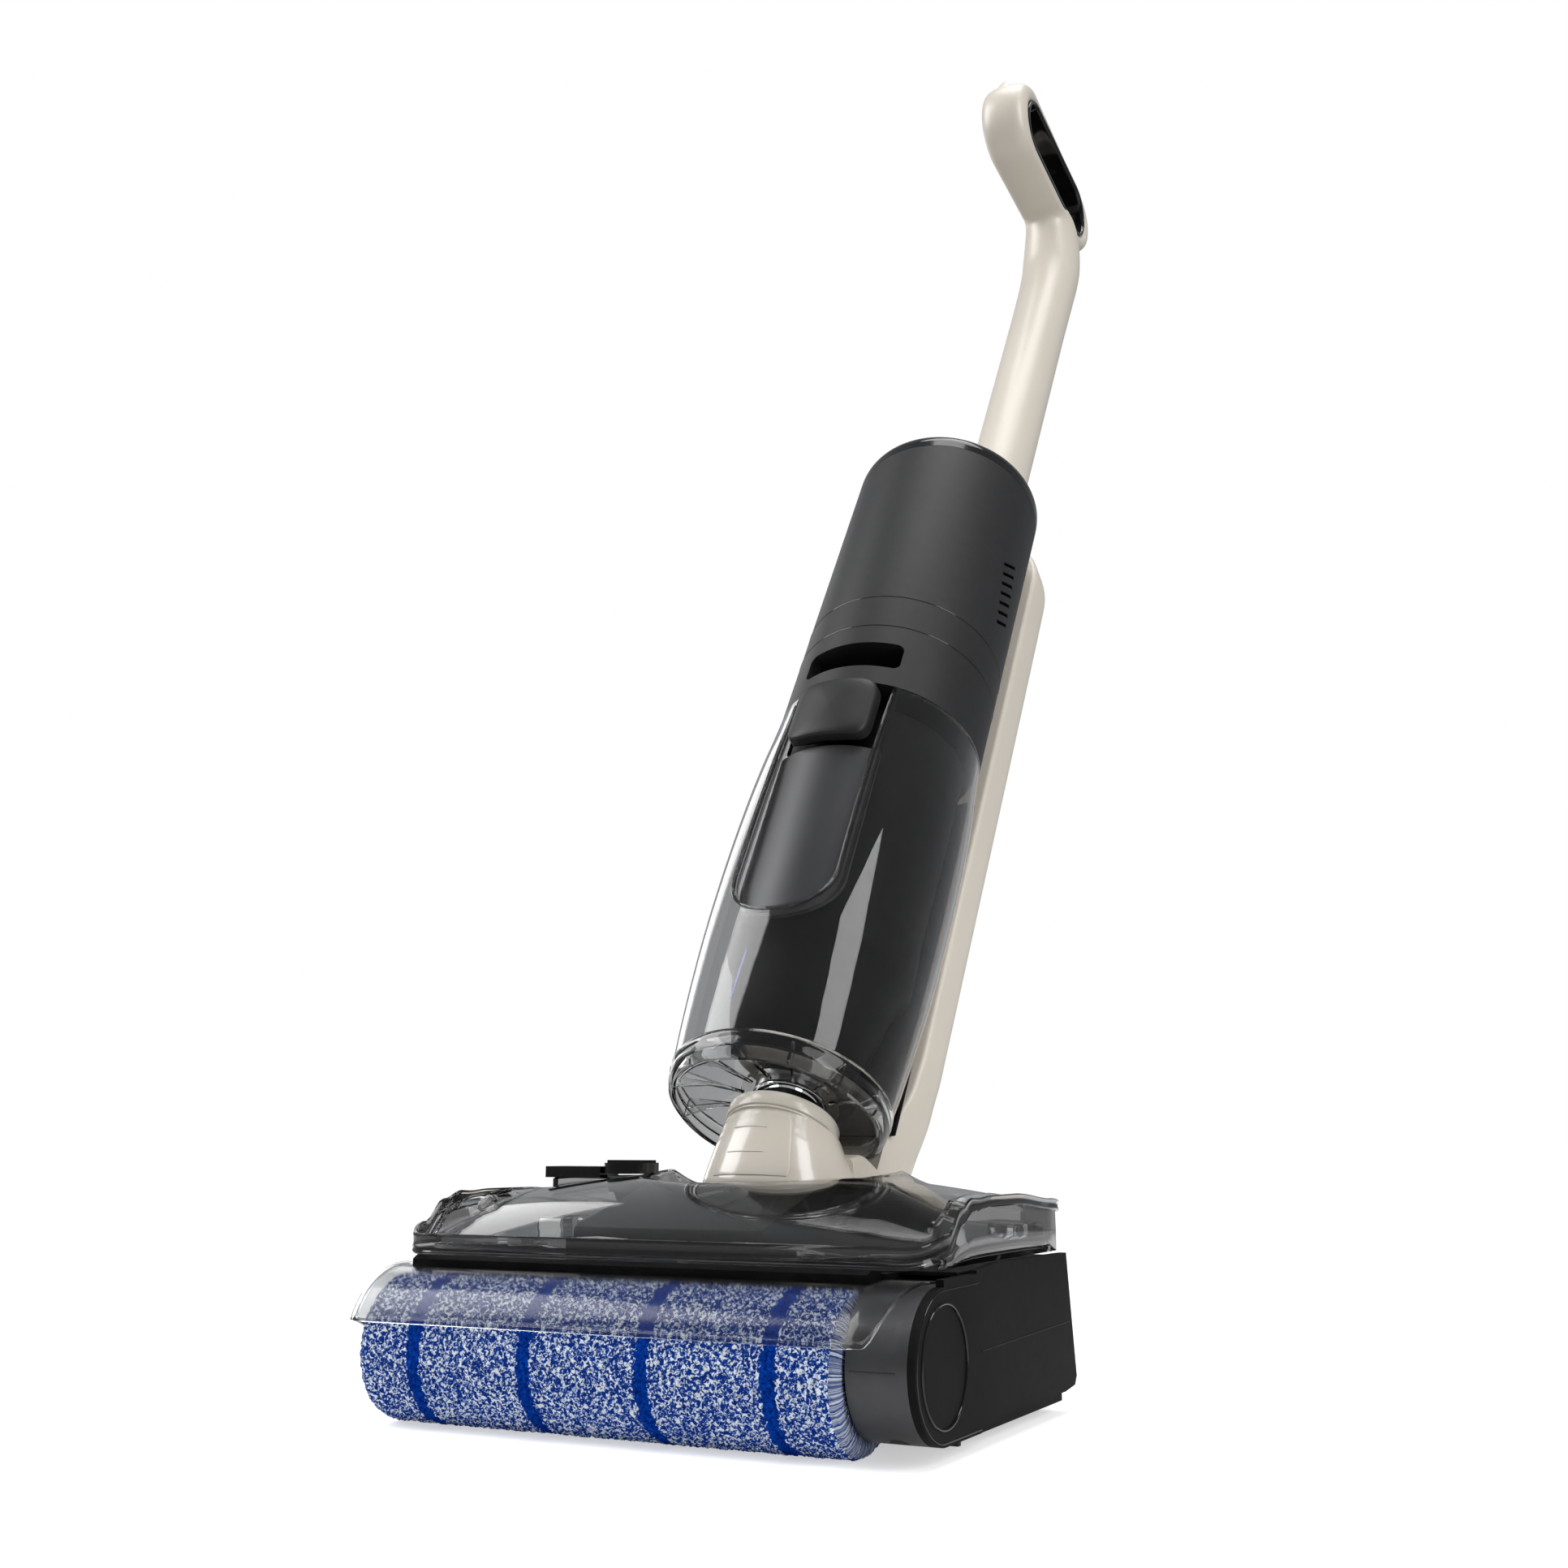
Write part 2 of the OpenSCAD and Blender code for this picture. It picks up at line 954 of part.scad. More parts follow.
module filter_cup()
    color(black)
        body_frame()
            difference() {
                intersection() {
                    translate([0, 0, ring_s + 22])
                        cylinder(h = glass_top_s - ring_s - 23, r = 52);
                    box(-60, 60, -60, back_flat - 4, ring_s, 900);
                }
                intersection() {
                    translate([0, 0, ring_s + 24.5])
                        cylinder(h = 400, r = 49.5);
                    box(-60, 60, -60, back_flat - 6.5, ring_s, 900);
                }
                translate([0, neck_y, 0])
                    cylinder(h = 300, r = 19.3);
            }

module recess_panel()
    color([0.25, 0.25, 0.26])
        body_frame()
            intersection() {
                difference() {
                    tank_cone(1.8);
                    translate([0, 0, ring_s])
                        cylinder(h = glass_top_s - ring_s, r1 = tank_foot_r - 4.4, r2 = body_r - 4.4);
                }
                window_cut(0);
                box(-100, 100, -100, 0, ring_s, ring_s + 196);
            }

module tank_lid()
    color(charcoal)
        body_frame()
            difference() {
                translate([0, 0, glass_top_s + 0.02])
                    cylinder(h = lid_top_s - glass_top_s - 0.04, r = body_r);
                translate([0, 0, glass_top_s - 1])
                    cylinder(h = 12, r = body_r - 8);
                difference() {
                    translate([0, 0, glass_top_s])
                        cylinder(h = 46, r = body_r - 3);
                    box(-38, 38, -100, -28, 0, 900);
                    box(-100, 100, back_flat - 3, 100, 0, 900);
                }
                translate([0, -36, glass_top_s + 24])
                    rotate([90, 0, 0])
                        linear_extrude(60)
                            union() {
                                square([62, 11], center = true);
                                square([53, 20], center = true);
                                for (x = [-1, 1], y = [-1, 1])
                                    translate([x * 26.5, y * 5.5])
                                        circle(4.5);
                            }
                box(-100, 100, back_flat, 200, 0, 900);
            }

module filter_cover()
    color(charcoal)
        body_frame()
            difference() {
                translate([0, 0, lid_top_s])
                    cylinder(h = seam_s - lid_top_s, r = body_r);
                translate([0, 0, lid_top_s + 3])
                    cylinder(h = 60, r = body_r - 12);
                box(-100, 100, back_flat, 200, 0, 900);
            }

// The release pad stands proud of the tank's front
module tank_latch()
    color(charcoal)
        body_frame()
            intersection() {
                difference() {
                    cylinder(h = 900, r = body_r + 3.5);
                    cylinder(h = 900, r = body_r - 3);
                }
                box(-24, 24, -100, 0, ring_s + 199, ring_s + 244);
            }

// ---- Handle ----

module handle_tube()
    color(beige)
        body_frame()
            difference() {
                translate([0, tube_y, tube_s0])
                    cylinder(h = tube_s1 - tube_s0, r = tube_r);
                translate([0, tube_y, tube_s0 - 1])
                    cylinder(h = 600, r = tube_r - 2.2);
            }

// Outline of the grip loop in (y, s), s measured from grip_s
module grip_outline()
    union() {
        hull() {
            translate([-66, -6])
                circle(34);
            translate([48, 34])
                circle(30);
        }
        hull() {
            translate([tube_y, -36])
                circle(tube_r + 1.5);
            translate([46, 22])
                circle(30);
        }
    }

module grip_hole(gap)
    hull() {
        translate([-56, 1])
            circle(19 + gap);
        translate([38, 34])
            circle(20 + gap);
    }

module grip_loop()
    color(beige)
        body_frame()
            difference() {
                across(-grip_half, grip_half)
                    translate([0, grip_s])
                        difference() {
                            grip_outline();
                            grip_hole(2.5);
                        }
                button_solid(0.25, button_y - 3, button_y + 8);
                translate([0, tube_y, grip_s - 90])
                    cylinder(h = 45, r = tube_r + 0.02);
            }

module grip_liner()
    color("black")
        body_frame()
            across(-grip_half, grip_half)
                translate([0, grip_s])
                    difference() {
                        grip_hole(2.5);
                        grip_hole(0);
                    }

button_s = grip_s + 4;
button_y = -100;

module button_outline(gap)
    hull()
        for (z = [-5.5, 5.5])
            translate([0, z])
                circle(4.5 + gap);

// The button lies in the grip's nose and is pushed towards the back
module button_solid(gap, y0, y1)
    translate([0, y1, button_s])
        rotate([90, 0, 0])
            linear_extrude(y1 - y0)
                button_outline(gap);

module power_button()
    color(beige)
        body_frame()
            button_solid(0, button_y - 0.8, button_y + 5);

chassis();
base_plate();
left_side_cover();
right_side_cover();
drive_housing();
drive_side_cap();
roller_bracket();
scraper_bar();
spray_bar();
duct_cover();
suction_duct();
rear_squeegee();
lamp_lenses();
left_wing_cover();
right_wing_cover();
drive_motor();
drive_belt();
wheel_axles();
base_screws();
recline_pins();
roller_core();
roller_pile();
roller_end_cap();
roller_pulley();
motor_pulley();
roller_cover();
roller_cover_end();
clean_tank();
filler_funnel();
filler_cap();
clean_tank_latch();
left_wheel();
left_tyre();
right_wheel();
right_tyre();
recline_yoke();
neck_shell();
neck_spigot();
neck_panel();
neck_hose();
spine_tray();
spine_back();
battery_pack();
motor_housing();
top_cap();
display_lens();
suction_motor();
suction_impeller();
dirty_tank();
tank_base_ring();
inlet_tube();
filter_cup();
recess_panel();
tank_lid();
filter_cover();
tank_latch();
handle_tube();
grip_loop();
grip_liner();
power_button();
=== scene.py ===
"""Look of the cordless floor washer: its stage, finishes and detailed pieces, as a Blender add-on."""

import json
from math import acos, atan2, cos, degrees, pi, radians, sin, sqrt

import bmesh
import bpy
import numpy as np
from mathutils import Matrix, Vector


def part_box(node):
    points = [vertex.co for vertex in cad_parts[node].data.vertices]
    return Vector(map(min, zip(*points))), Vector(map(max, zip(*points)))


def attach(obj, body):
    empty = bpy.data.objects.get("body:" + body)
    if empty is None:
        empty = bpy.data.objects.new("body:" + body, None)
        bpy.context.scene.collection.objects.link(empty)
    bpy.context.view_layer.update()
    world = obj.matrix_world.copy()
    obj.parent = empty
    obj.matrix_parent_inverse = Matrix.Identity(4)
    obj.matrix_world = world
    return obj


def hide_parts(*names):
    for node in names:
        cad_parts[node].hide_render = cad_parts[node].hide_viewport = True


bl_info = {
    "name": "Floor washer",
    "version": (1, 0, 0),
    "blender": (4, 5, 0),
    "location": "3D View > Sidebar > Washer",
    "description": "Builds the finished look of a cordless floor washer around its packed frame",
    "category": "Object",
}

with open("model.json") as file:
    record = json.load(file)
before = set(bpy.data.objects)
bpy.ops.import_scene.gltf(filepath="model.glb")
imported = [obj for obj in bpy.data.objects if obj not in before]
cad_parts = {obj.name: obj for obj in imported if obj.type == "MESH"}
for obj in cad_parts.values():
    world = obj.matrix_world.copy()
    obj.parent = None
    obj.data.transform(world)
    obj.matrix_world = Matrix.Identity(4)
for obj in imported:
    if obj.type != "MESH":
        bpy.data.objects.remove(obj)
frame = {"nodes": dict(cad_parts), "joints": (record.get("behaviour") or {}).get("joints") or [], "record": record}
NODES = frame["nodes"]
JOINTS = {j["name"]: j for j in frame["joints"]}
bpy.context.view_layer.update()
MM = 0.001

core_low, core_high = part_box("roller_core")
AXLE_Y = (core_low.y + core_high.y) / 2
AXLE_Z = (core_low.z + core_high.z) / 2

# The body frame: origin on the tank's axis at its ring, Z up the body, Y towards the spine
up_axis = Vector(JOINTS["steer"]["axis"]).normalized()
back_axis = Vector(JOINTS["waste_tank_latch_press"]["axis"]).normalized()
IMPELLER_UP = 0.340
ring_point = Vector(JOINTS["impeller_spin"]["pos_m"]) - up_axis * IMPELLER_UP
BODY = Matrix.Translation(ring_point) @ Matrix(((1, 0, 0), back_axis, up_axis)).transposed().to_4x4()
pivot_point = Vector(JOINTS["recline"]["pos_m"])
PIVOT_Y = (pivot_point.y - AXLE_Y) / MM
HALF_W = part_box("right_side_cover")[1].x / MM

# Measures that several pieces share, in millimetres
ROLLER_UP = 34.0
DRIVE_Y, DRIVE_UP = 4.0, 38.5
LID_LOW = 77.0
BOWL_RADIUS = 66.0
BOWL_SIDE = 55.0
NECK_RISE, NECK_LEAN = 69.8, 24.5
NECK_OFF = 37.3
WINDOW_HALF, WINDOW_FOOT = 31.4, 104
GRIP_UP = 900.0


# ---------------------------------------------------------------- sizes and colours

class WasherSizes(bpy.types.PropertyGroup):
    """Sizes of the detailed pieces, in metres."""
    pile_radius: bpy.props.FloatProperty(
        name="Pile radius", description="Radius of the roller over its pile", default=0.0337, unit="LENGTH")
    pile_lump: bpy.props.FloatProperty(
        name="Pile lump", description="Height of the pile's uneven tufts", default=0.0005, unit="LENGTH")
    band_width: bpy.props.FloatProperty(
        name="Band width", description="Width of a dark band in the pile", default=0.0068, unit="LENGTH")
    tank_wall: bpy.props.FloatProperty(
        name="Tank wall", description="Wall of the clear tanks", default=0.0022, unit="LENGTH")
    neck_collar: bpy.props.FloatProperty(
        name="Neck collar radius", description="Radius of the collar at the neck's top", default=0.030,
        unit="LENGTH")


class WasherColours(bpy.types.PropertyGroup):
    """Colours of the finishes."""
    beige: bpy.props.FloatVectorProperty(
        name="Beige", description="Spine, neck and handle", default=(0.68, 0.625, 0.54),
        subtype="COLOR", size=3)
    charcoal: bpy.props.FloatVectorProperty(
        name="Charcoal", description="Motor housing and tank lid", default=(0.010, 0.010, 0.0105),
        subtype="COLOR", size=3)
    black: bpy.props.FloatVectorProperty(
        name="Black", description="Side covers and frame", default=(0.0025, 0.0025, 0.0027),
        subtype="COLOR", size=3)
    smoke: bpy.props.FloatVectorProperty(
        name="Smoke", description="Tint of the clear tanks", default=(0.70, 0.70, 0.70),
        subtype="COLOR", size=3)
    pile_blue: bpy.props.FloatVectorProperty(
        name="Pile blue", description="Blue fibres of the roller", default=(0.004, 0.032, 0.25),
        subtype="COLOR", size=3)
    pile_white: bpy.props.FloatVectorProperty(
        name="Pile white", description="White fibres of the roller", default=(0.85, 0.90, 0.95),
        subtype="COLOR", size=3)


# ---------------------------------------------------------------- mesh helpers

def to_head(points):
    """Millimetres in the head's frame, Y from the roller axis, to metres in the row frame."""
    p = np.asarray(points, float) * MM
    return p + np.array([0.0, AXLE_Y, 0.0])


def to_body(points):
    """Millimetres in the body frame to metres in the row frame."""
    p = np.asarray(points, float) * MM
    m = np.array(BODY)
    return p @ m[:3, :3].T + m[:3, 3]


def shade(mesh, angle=35):
    """Smooth shading, with sharp edges above an angle in degrees."""
    mesh.shade_smooth()
    mesh.set_sharp_from_angle(angle=radians(angle))


def object_from(name, bm, mesh, angle=35):
    """Puts an edited mesh into the scene as a new object."""
    bm.to_mesh(mesh)
    bm.free()
    shade(mesh, angle)
    obj = bpy.data.objects.new(name, mesh)
    bpy.context.scene.collection.objects.link(obj)
    return obj


def add_object(name, verts, faces, smooth_angle=35):
    mesh = bpy.data.meshes.new(name)
    mesh.from_pydata([tuple(v) for v in verts], [], [tuple(f) for f in faces])
    mesh.validate()
    bm = bmesh.new()
    bm.from_mesh(mesh)
    bmesh.ops.remove_doubles(bm, verts=bm.verts, dist=1e-6)
    bmesh.ops.dissolve_degenerate(bm, edges=bm.edges, dist=1e-7)
    bmesh.ops.recalc_face_normals(bm, faces=bm.faces)
    return object_from(name, bm, mesh, smooth_angle)


def grid_faces(rows, cols, close_rows=False, close_cols=False):
    """Quads over a grid of points numbered row by row."""
    faces = []
    for i in range(rows if close_rows else rows - 1):
        for j in range(cols if close_cols else cols - 1):
            below, above, beside = i * cols, (i + 1) % rows * cols, (j + 1) % cols
            faces.append((below + j, below + beside, above + beside, above + j))
    return faces


def loft(name, rings, close_rows=False, caps=True, smooth_angle=35):
    """Skin over closed rings of points, with end caps unless the rings themselves close."""
    rings = np.asarray(rings)
    rows, cols = rings.shape[:2]
    faces = grid_faces(rows, cols, close_rows, True)
    if caps and not close_rows:
        faces.append(tuple(range(cols))[::-1])
        faces.append(tuple(range((rows - 1) * cols, rows * cols)))
    return add_object(name, rings.reshape(-1, 3), faces, smooth_angle)


def lathe(name, profile, place, segments=96, close=False):
    """A profile of (radius, height) turned about the local Z of place, in millimetres."""
    rings = []
    for r, z in profile:
        angles = [2 * pi * k / segments for k in range(segments)]
        rings.append([(r * cos(a), r * sin(a), z) for a in angles])
    rings = np.array(rings)
    points = place(rings.reshape(-1, 3)).reshape(rings.shape)
    return loft(name, points, close_rows=close, caps=not close)


def prism(name, outline, low, high, place, plane="xz"):
    """An outline of two coordinates pushed from low to high along the third, in millimetres."""
    rings = []
    for t in (low, high):
        rings.append([{"xz": (a, t, b), "yz": (t, a, b), "xy": (a, b, t)}[plane] for a, b in outline])
    return loft(name, np.array([place(np.array(r)) for r in rings]))


def tube(name, path, radius, closed=False, sides=10):
    """A round bead of one radius along a path of row-frame points."""
    path = [Vector(p) for p in path]
    n = len(path)
    rings = []
    previous = None
    for i in range(n):
        a = path[(i - 1) % n] if closed or i > 0 else path[i]
        b = path[(i + 1) % n] if closed or i < n - 1 else path[i]
        t = (b - a).normalized()
        if previous is None:
            previous = t.orthogonal().normalized()
        u = (previous - t * previous.dot(t)).normalized()
        v = t.cross(u)
        previous = u
        rings.append([tuple(path[i] + radius * (cos(q) * u + sin(q) * v))
                      for q in [2 * pi * k / sides for k in range(sides)]])
    return loft(name, np.array(rings), close_rows=closed)


def modify(obj, kind, **values):
    m = obj.modifiers.new(kind.lower(), kind)
    for k, v in values.items():
        setattr(m, k, v)


def apply_all(obj):
    """Turns an object's modifiers into its mesh."""
    bpy.context.view_layer.update()
    graph = bpy.context.evaluated_depsgraph_get()
    mesh = bpy.data.meshes.new_from_object(obj.evaluated_get(graph))
    obj.modifiers.clear()
    obj.data = mesh


def sheet(name, rows, place, thickness=None, smooth_angle=35, offset=0):
    """A skin over an open grid of points in millimetres, with a wall if its thickness in metres is given."""
    rows = np.asarray(rows)
    obj = add_object(name, place(rows).reshape(-1, 3), grid_faces(*rows.shape[:2]), smooth_angle)
    if thickness:
        modify(obj, "SOLIDIFY", thickness=thickness, offset=offset)
        apply_all(obj)
    return obj


def cut_away(obj, cutter):
    """Takes the cutter's shape out of a piece, and removes the cutter."""
    modify(obj, "BOOLEAN", operation="DIFFERENCE", object=cutter, solver="EXACT")
    apply_all(obj)
    bpy.data.objects.remove(cutter)
    shade(obj.data)


def soften(obj, width):
    """Rounds the sharp edges of a piece or of a carried-over node."""
    modify(obj, "BEVEL", width=width, segments=3, limit_method="ANGLE", angle_limit=radians(30),
           harden_normals=False, miter_outer="MITER_ARC")


def joined(name, objects):
    """Several pieces as one."""
    bm = bmesh.new()
    for o in objects:
        bm.from_mesh(o.data)
    whole = object_from(name, bm, bpy.data.meshes.new(name))
    for o in objects:
        bpy.data.objects.remove(o)
    return whole


def finish_piece(obj, body, slot, finish=None, replaces=()):
    """Gives a piece its finish, which is its slot's unless named, its body and the nodes it stands for."""
    obj.data.materials.clear()
    obj.data.materials.append(FINISH[finish or slot])
    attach(obj, body)
    if replaces:
        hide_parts(*replaces)


def bead(name, path, radius, body, slot, finish=None, closed=False, sides=6):
    """A fine bead along a path of row-frame points, with its radius in millimetres."""
    finish_piece(tube(name, path, radius * MM, closed, sides), body, slot, finish)


def turns(count):
    """The angles of one full turn."""
    return np.linspace(0, 2 * pi, count, endpoint=False)


def squared(angle, power):
    """A point on a round square of half width 1; a lower power is squarer."""
    return [abs(v) ** power * (1 if v >= 0 else -1) for v in (cos(angle), sin(angle))]


def arc(cx, cy, r, a0, a1, n):
    """Points on an arc, angles in degrees."""
    return [(cx + r * cos(radians(a0 + (a1 - a0) * k / (n - 1))),
             cy + r * sin(radians(a0 + (a1 - a0) * k / (n - 1)))) for k in range(n)]


def smooth_step(a, b, x):
    t = min(1.0, max(0.0, (x - a) / (b - a)))
    return t * t * (3 - 2 * t)


def curve_value(table, x):
    """A smooth height read off a short table of (place, height)."""
    xs = [p[0] for p in table]
    ys = [p[1] for p in table]
    if x <= xs[0]:
        return ys[0]
    for i in range(len(xs) - 1):
        if x <= xs[i + 1]:
            return ys[i] + (ys[i + 1] - ys[i]) * smooth_step(xs[i], xs[i + 1], x)
    return ys[-1]


def catmull(knots, points, at):
    """A smooth curve through the points, read at each place."""
    out = []
    for t in at:
        i = int(min(len(knots) - 2, max(0, np.searchsorted(knots, t, "right") - 1)))
        u = (t - knots[i]) / (knots[i + 1] - knots[i])
        p1, p2 = points[i], points[i + 1]
        m1 = (p2 - points[i - 1]) / 2 if i > 0 else p2 - p1
        m2 = (points[i + 2] - p1) / 2 if i + 2 < len(points) else p2 - p1
        span = p2 - p1
        cap = np.hypot(*span)
        for m in (m1, m2):
            size = np.hypot(*m)
            if size > cap:
                m *= cap / size
        out.append((2 * u ** 3 - 3 * u ** 2 + 1) * p1 + (u ** 3 - 2 * u ** 2 + u) * m1
                   + (-2 * u ** 3 + 3 * u ** 2) * p2 + (u ** 3 - u ** 2) * m2)
    return np.array(out)


# ---------------------------------------------------------------- shader groups and finishes

def new_group(name, inputs, outputs):
    g = bpy.data.node_groups.new(name, "ShaderNodeTree")
    for label, kind, value in inputs:
        s = g.interface.new_socket(name=label, in_out="INPUT", socket_type=kind)
        s.default_value = value
    for label, kind in outputs:
        g.interface.new_socket(name=label, in_out="OUTPUT", socket_type=kind)
    return g, g.nodes.new("NodeGroupInput"), g.nodes.new("NodeGroupOutput")


def link(tree, a, a_out, b, b_in):
    tree.links.new(a.outputs[a_out], b.inputs[b_in])


def feed(tree, value, socket):
    """Links an output to a socket, or sets the socket to a fixed value."""
    if isinstance(value, bpy.types.NodeSocket):
        tree.links.new(value, socket)
    else:
        socket.default_value = value


def math_node(tree, op, a, b=None):
    n = tree.nodes.new("ShaderNodeMath")
    n.operation = op
    feed(tree, a, n.inputs[0])
    if b is not None:
        feed(tree, b, n.inputs[1])
    return n.outputs[0]


def set_inputs(node, **values):
    """Sets a node's inputs by name, with an underscore for each space."""
    for label, value in values.items():
        node.inputs[label.replace("_", " ")].default_value = value
    return node


def noise(tree, where, **values):
    """A noise texture at the object's own place, and its value."""
    n = set_inputs(tree.nodes.new("ShaderNodeTexNoise"), **values)
    link(tree, where, "Object", n, "Vector")
    return n, n.outputs[0]


def mix_colours(tree, factor, a, b):
    n = tree.nodes.new("ShaderNodeMix")
    n.data_type = "RGBA"
    for label, value in (("Factor", factor), ("A", a), ("B", b)):
        feed(tree, value, n.inputs[label])
    return n.outputs["Result"]


def ramp(tree, value, *stops):
    """Colours along a value, from stops of (place, colour)."""
    n = tree.nodes.new("ShaderNodeValToRGB")
    points = n.color_ramp.elements
    points[0].position, points[1].position = stops[0][0], stops[-1][0]
    for place, _ in stops[1:-1]:
        points.new(place)
    for point, (_, colour) in zip(points, stops):
        point.color = (*colour, 1)
    tree.links.new(value, n.inputs["Fac"])
    return n.outputs[0]


def build_grain_group():
    """Moulding grain: fine noise for bump, a broad mottle for colour, and a dust mask on upward faces."""
    g, gi, go = new_group(
        "Moulding grain",
        [("Color", "NodeSocketColor", (0.5, 0.5, 0.5, 1)), ("Grain size", "NodeSocketFloat", 2600.0),
         ("Mottle", "NodeSocketFloat", 0.05), ("Dust", "NodeSocketFloat", 0.04),
         ("Roughness", "NodeSocketFloat", 0.4), ("Roughness spread", "NodeSocketFloat", 0.08)],
        [("Color", "NodeSocketColor"), ("Roughness", "NodeSocketFloat"), ("Height", "NodeSocketFloat")])
    where = g.nodes.new("ShaderNodeTexCoord")
    fine, fine_value = noise(g, where, Detail=3.0)
    link(g, gi, "Grain size", fine, "Scale")
    broad = noise(g, where, Scale=22.0, Detail=4.0)[1]
    specks = noise(g, where, Scale=420.0, Detail=5.0)[1]
    broad_shade = math_node(g, "SUBTRACT", broad, 0.5)
    fine_shade = math_node(g, "MULTIPLY", math_node(g, "SUBTRACT", fine_value, 0.5), 2.0)
    shaded = math_node(g, "MULTIPLY", math_node(g, "ADD", fine_shade, broad_shade), gi.outputs["Mottle"])
    tint = g.nodes.new("ShaderNodeVectorMath")
    tint.operation = "SCALE"
    link(g, gi, "Color", tint, 0)
    g.links.new(math_node(g, "ADD", shaded, 1.0), tint.inputs["Scale"])
    faces = g.nodes.new("ShaderNodeNewGeometry")
    apart = g.nodes.new("ShaderNodeSeparateXYZ")
    link(g, faces, "Normal", apart, 0)
    upward = math_node(g, "MAXIMUM", apart.outputs["Z"], 0.0)
    dusty = math_node(g, "MULTIPLY", math_node(g, "MULTIPLY", upward, specks), gi.outputs["Dust"])
    g.links.new(mix_colours(g, dusty, tint.outputs[0], (0.5, 0.49, 0.47, 1)), go.inputs["Color"])
    spread = math_node(g, "MULTIPLY", broad_shade, gi.outputs["Roughness spread"])
    g.links.new(math_node(g, "ADD", gi.outputs["Roughness"], spread), go.inputs["Roughness"])
    g.links.new(fine_value, go.inputs["Height"])


def build_wear_group():
    """Handling marks: a lighter mask on the convex edges, broken up by noise."""
    g, gi, go = new_group(
        "Handling marks",
        [("Color", "NodeSocketColor", (0.5, 0.5, 0.5, 1)), ("Amount", "NodeSocketFloat", 0.3),
         ("Edge colour", "NodeSocketColor", (0.7, 0.7, 0.7, 1))],
        [("Color", "NodeSocketColor"), ("Mask", "NodeSocketFloat")])
    where = g.nodes.new("ShaderNodeTexCoord")
    shape = g.nodes.new("ShaderNodeNewGeometry")
    patches = noise(g, where, Scale=160.0, Detail=6.0)[1]
    convex = math_node(g, "MAXIMUM", math_node(g, "SUBTRACT", shape.outputs["Pointiness"], 0.53), 0.0)
    edge = math_node(g, "MULTIPLY", math_node(g, "MULTIPLY", convex, 9.0), patches)
    mask = math_node(g, "MINIMUM", math_node(g, "MULTIPLY", edge, gi.outputs["Amount"]), 1.0)
    g.links.new(mix_colours(g, mask, gi.outputs["Color"], gi.outputs["Edge colour"]), go.inputs["Color"])
    g.links.new(mask, go.inputs["Mask"])


def base_material(name):
    m = bpy.data.materials.new(name)
    m.use_nodes = True
    return m, m.node_tree, m.node_tree.nodes["Principled BSDF"]


def group_node(tree, group, **values):
    n = tree.nodes.new("ShaderNodeGroup")
    n.node_tree = bpy.data.node_groups[group]
    return set_inputs(n, **values)


def plastic(name, colour, rough, grain=2600.0, bump=0.08, mottle=0.05, dust=0.03, spread=0.08, coat=0.0,
            coat_rough=0.1, metallic=0.0, wear=0.25, specular=0.5):
    """A moulding or a metal: colour with edge marks, grain, a little dust, and a bump from the grain."""
    m, t, p = base_material(name)
    c = (*colour, 1.0)
    lighter = (*[min(1.0, v * 1.6 + 0.03) for v in colour], 1.0)
    marks = group_node(t, "Handling marks", Color=c, Amount=wear, Edge_colour=lighter)
    g = group_node(t, "Moulding grain", Color=c, Mottle=mottle, Dust=dust, Roughness=rough, Grain_size=grain,
                   Roughness_spread=spread)
    link(t, marks, "Color", g, "Color")
    link(t, g, "Color", p, "Base Color")
    link(t, g, "Roughness", p, "Roughness")
    b = set_inputs(t.nodes.new("ShaderNodeBump"), Strength=bump, Distance=0.0004)
    link(t, g, "Height", b, "Height")
    link(t, b, "Normal", p, "Normal")
    set_inputs(p, Metallic=metallic, Specular_IOR_Level=specular, Coat_Weight=coat, Coat_Roughness=coat_rough)
    return m


def clear(name, tint, rough=0.02, ior=1.33, passing=0.7):
    """Clear moulded plastic: a thin wall that tints what is behind it and lets part of its shadow through."""
    m, t, p = base_material(name)
    g = group_node(t, "Moulding grain", Color=(*tint, 1.0), Mottle=0.02, Dust=0.0, Roughness=rough,
                   Roughness_spread=0.02, Grain_size=900.0)
    link(t, g, "Color", p, "Base Color")
    link(t, g, "Roughness", p, "Roughness")
    set_inputs(p, Transmission_Weight=1.0, IOR=ior)
    path = t.nodes.new("ShaderNodeLightPath")
    blocked = math_node(t, "MULTIPLY", path.outputs["Is Shadow Ray"], passing)
    t.links.new(math_node(t, "SUBTRACT", 1.0, blocked), p.inputs["Alpha"])
    return m


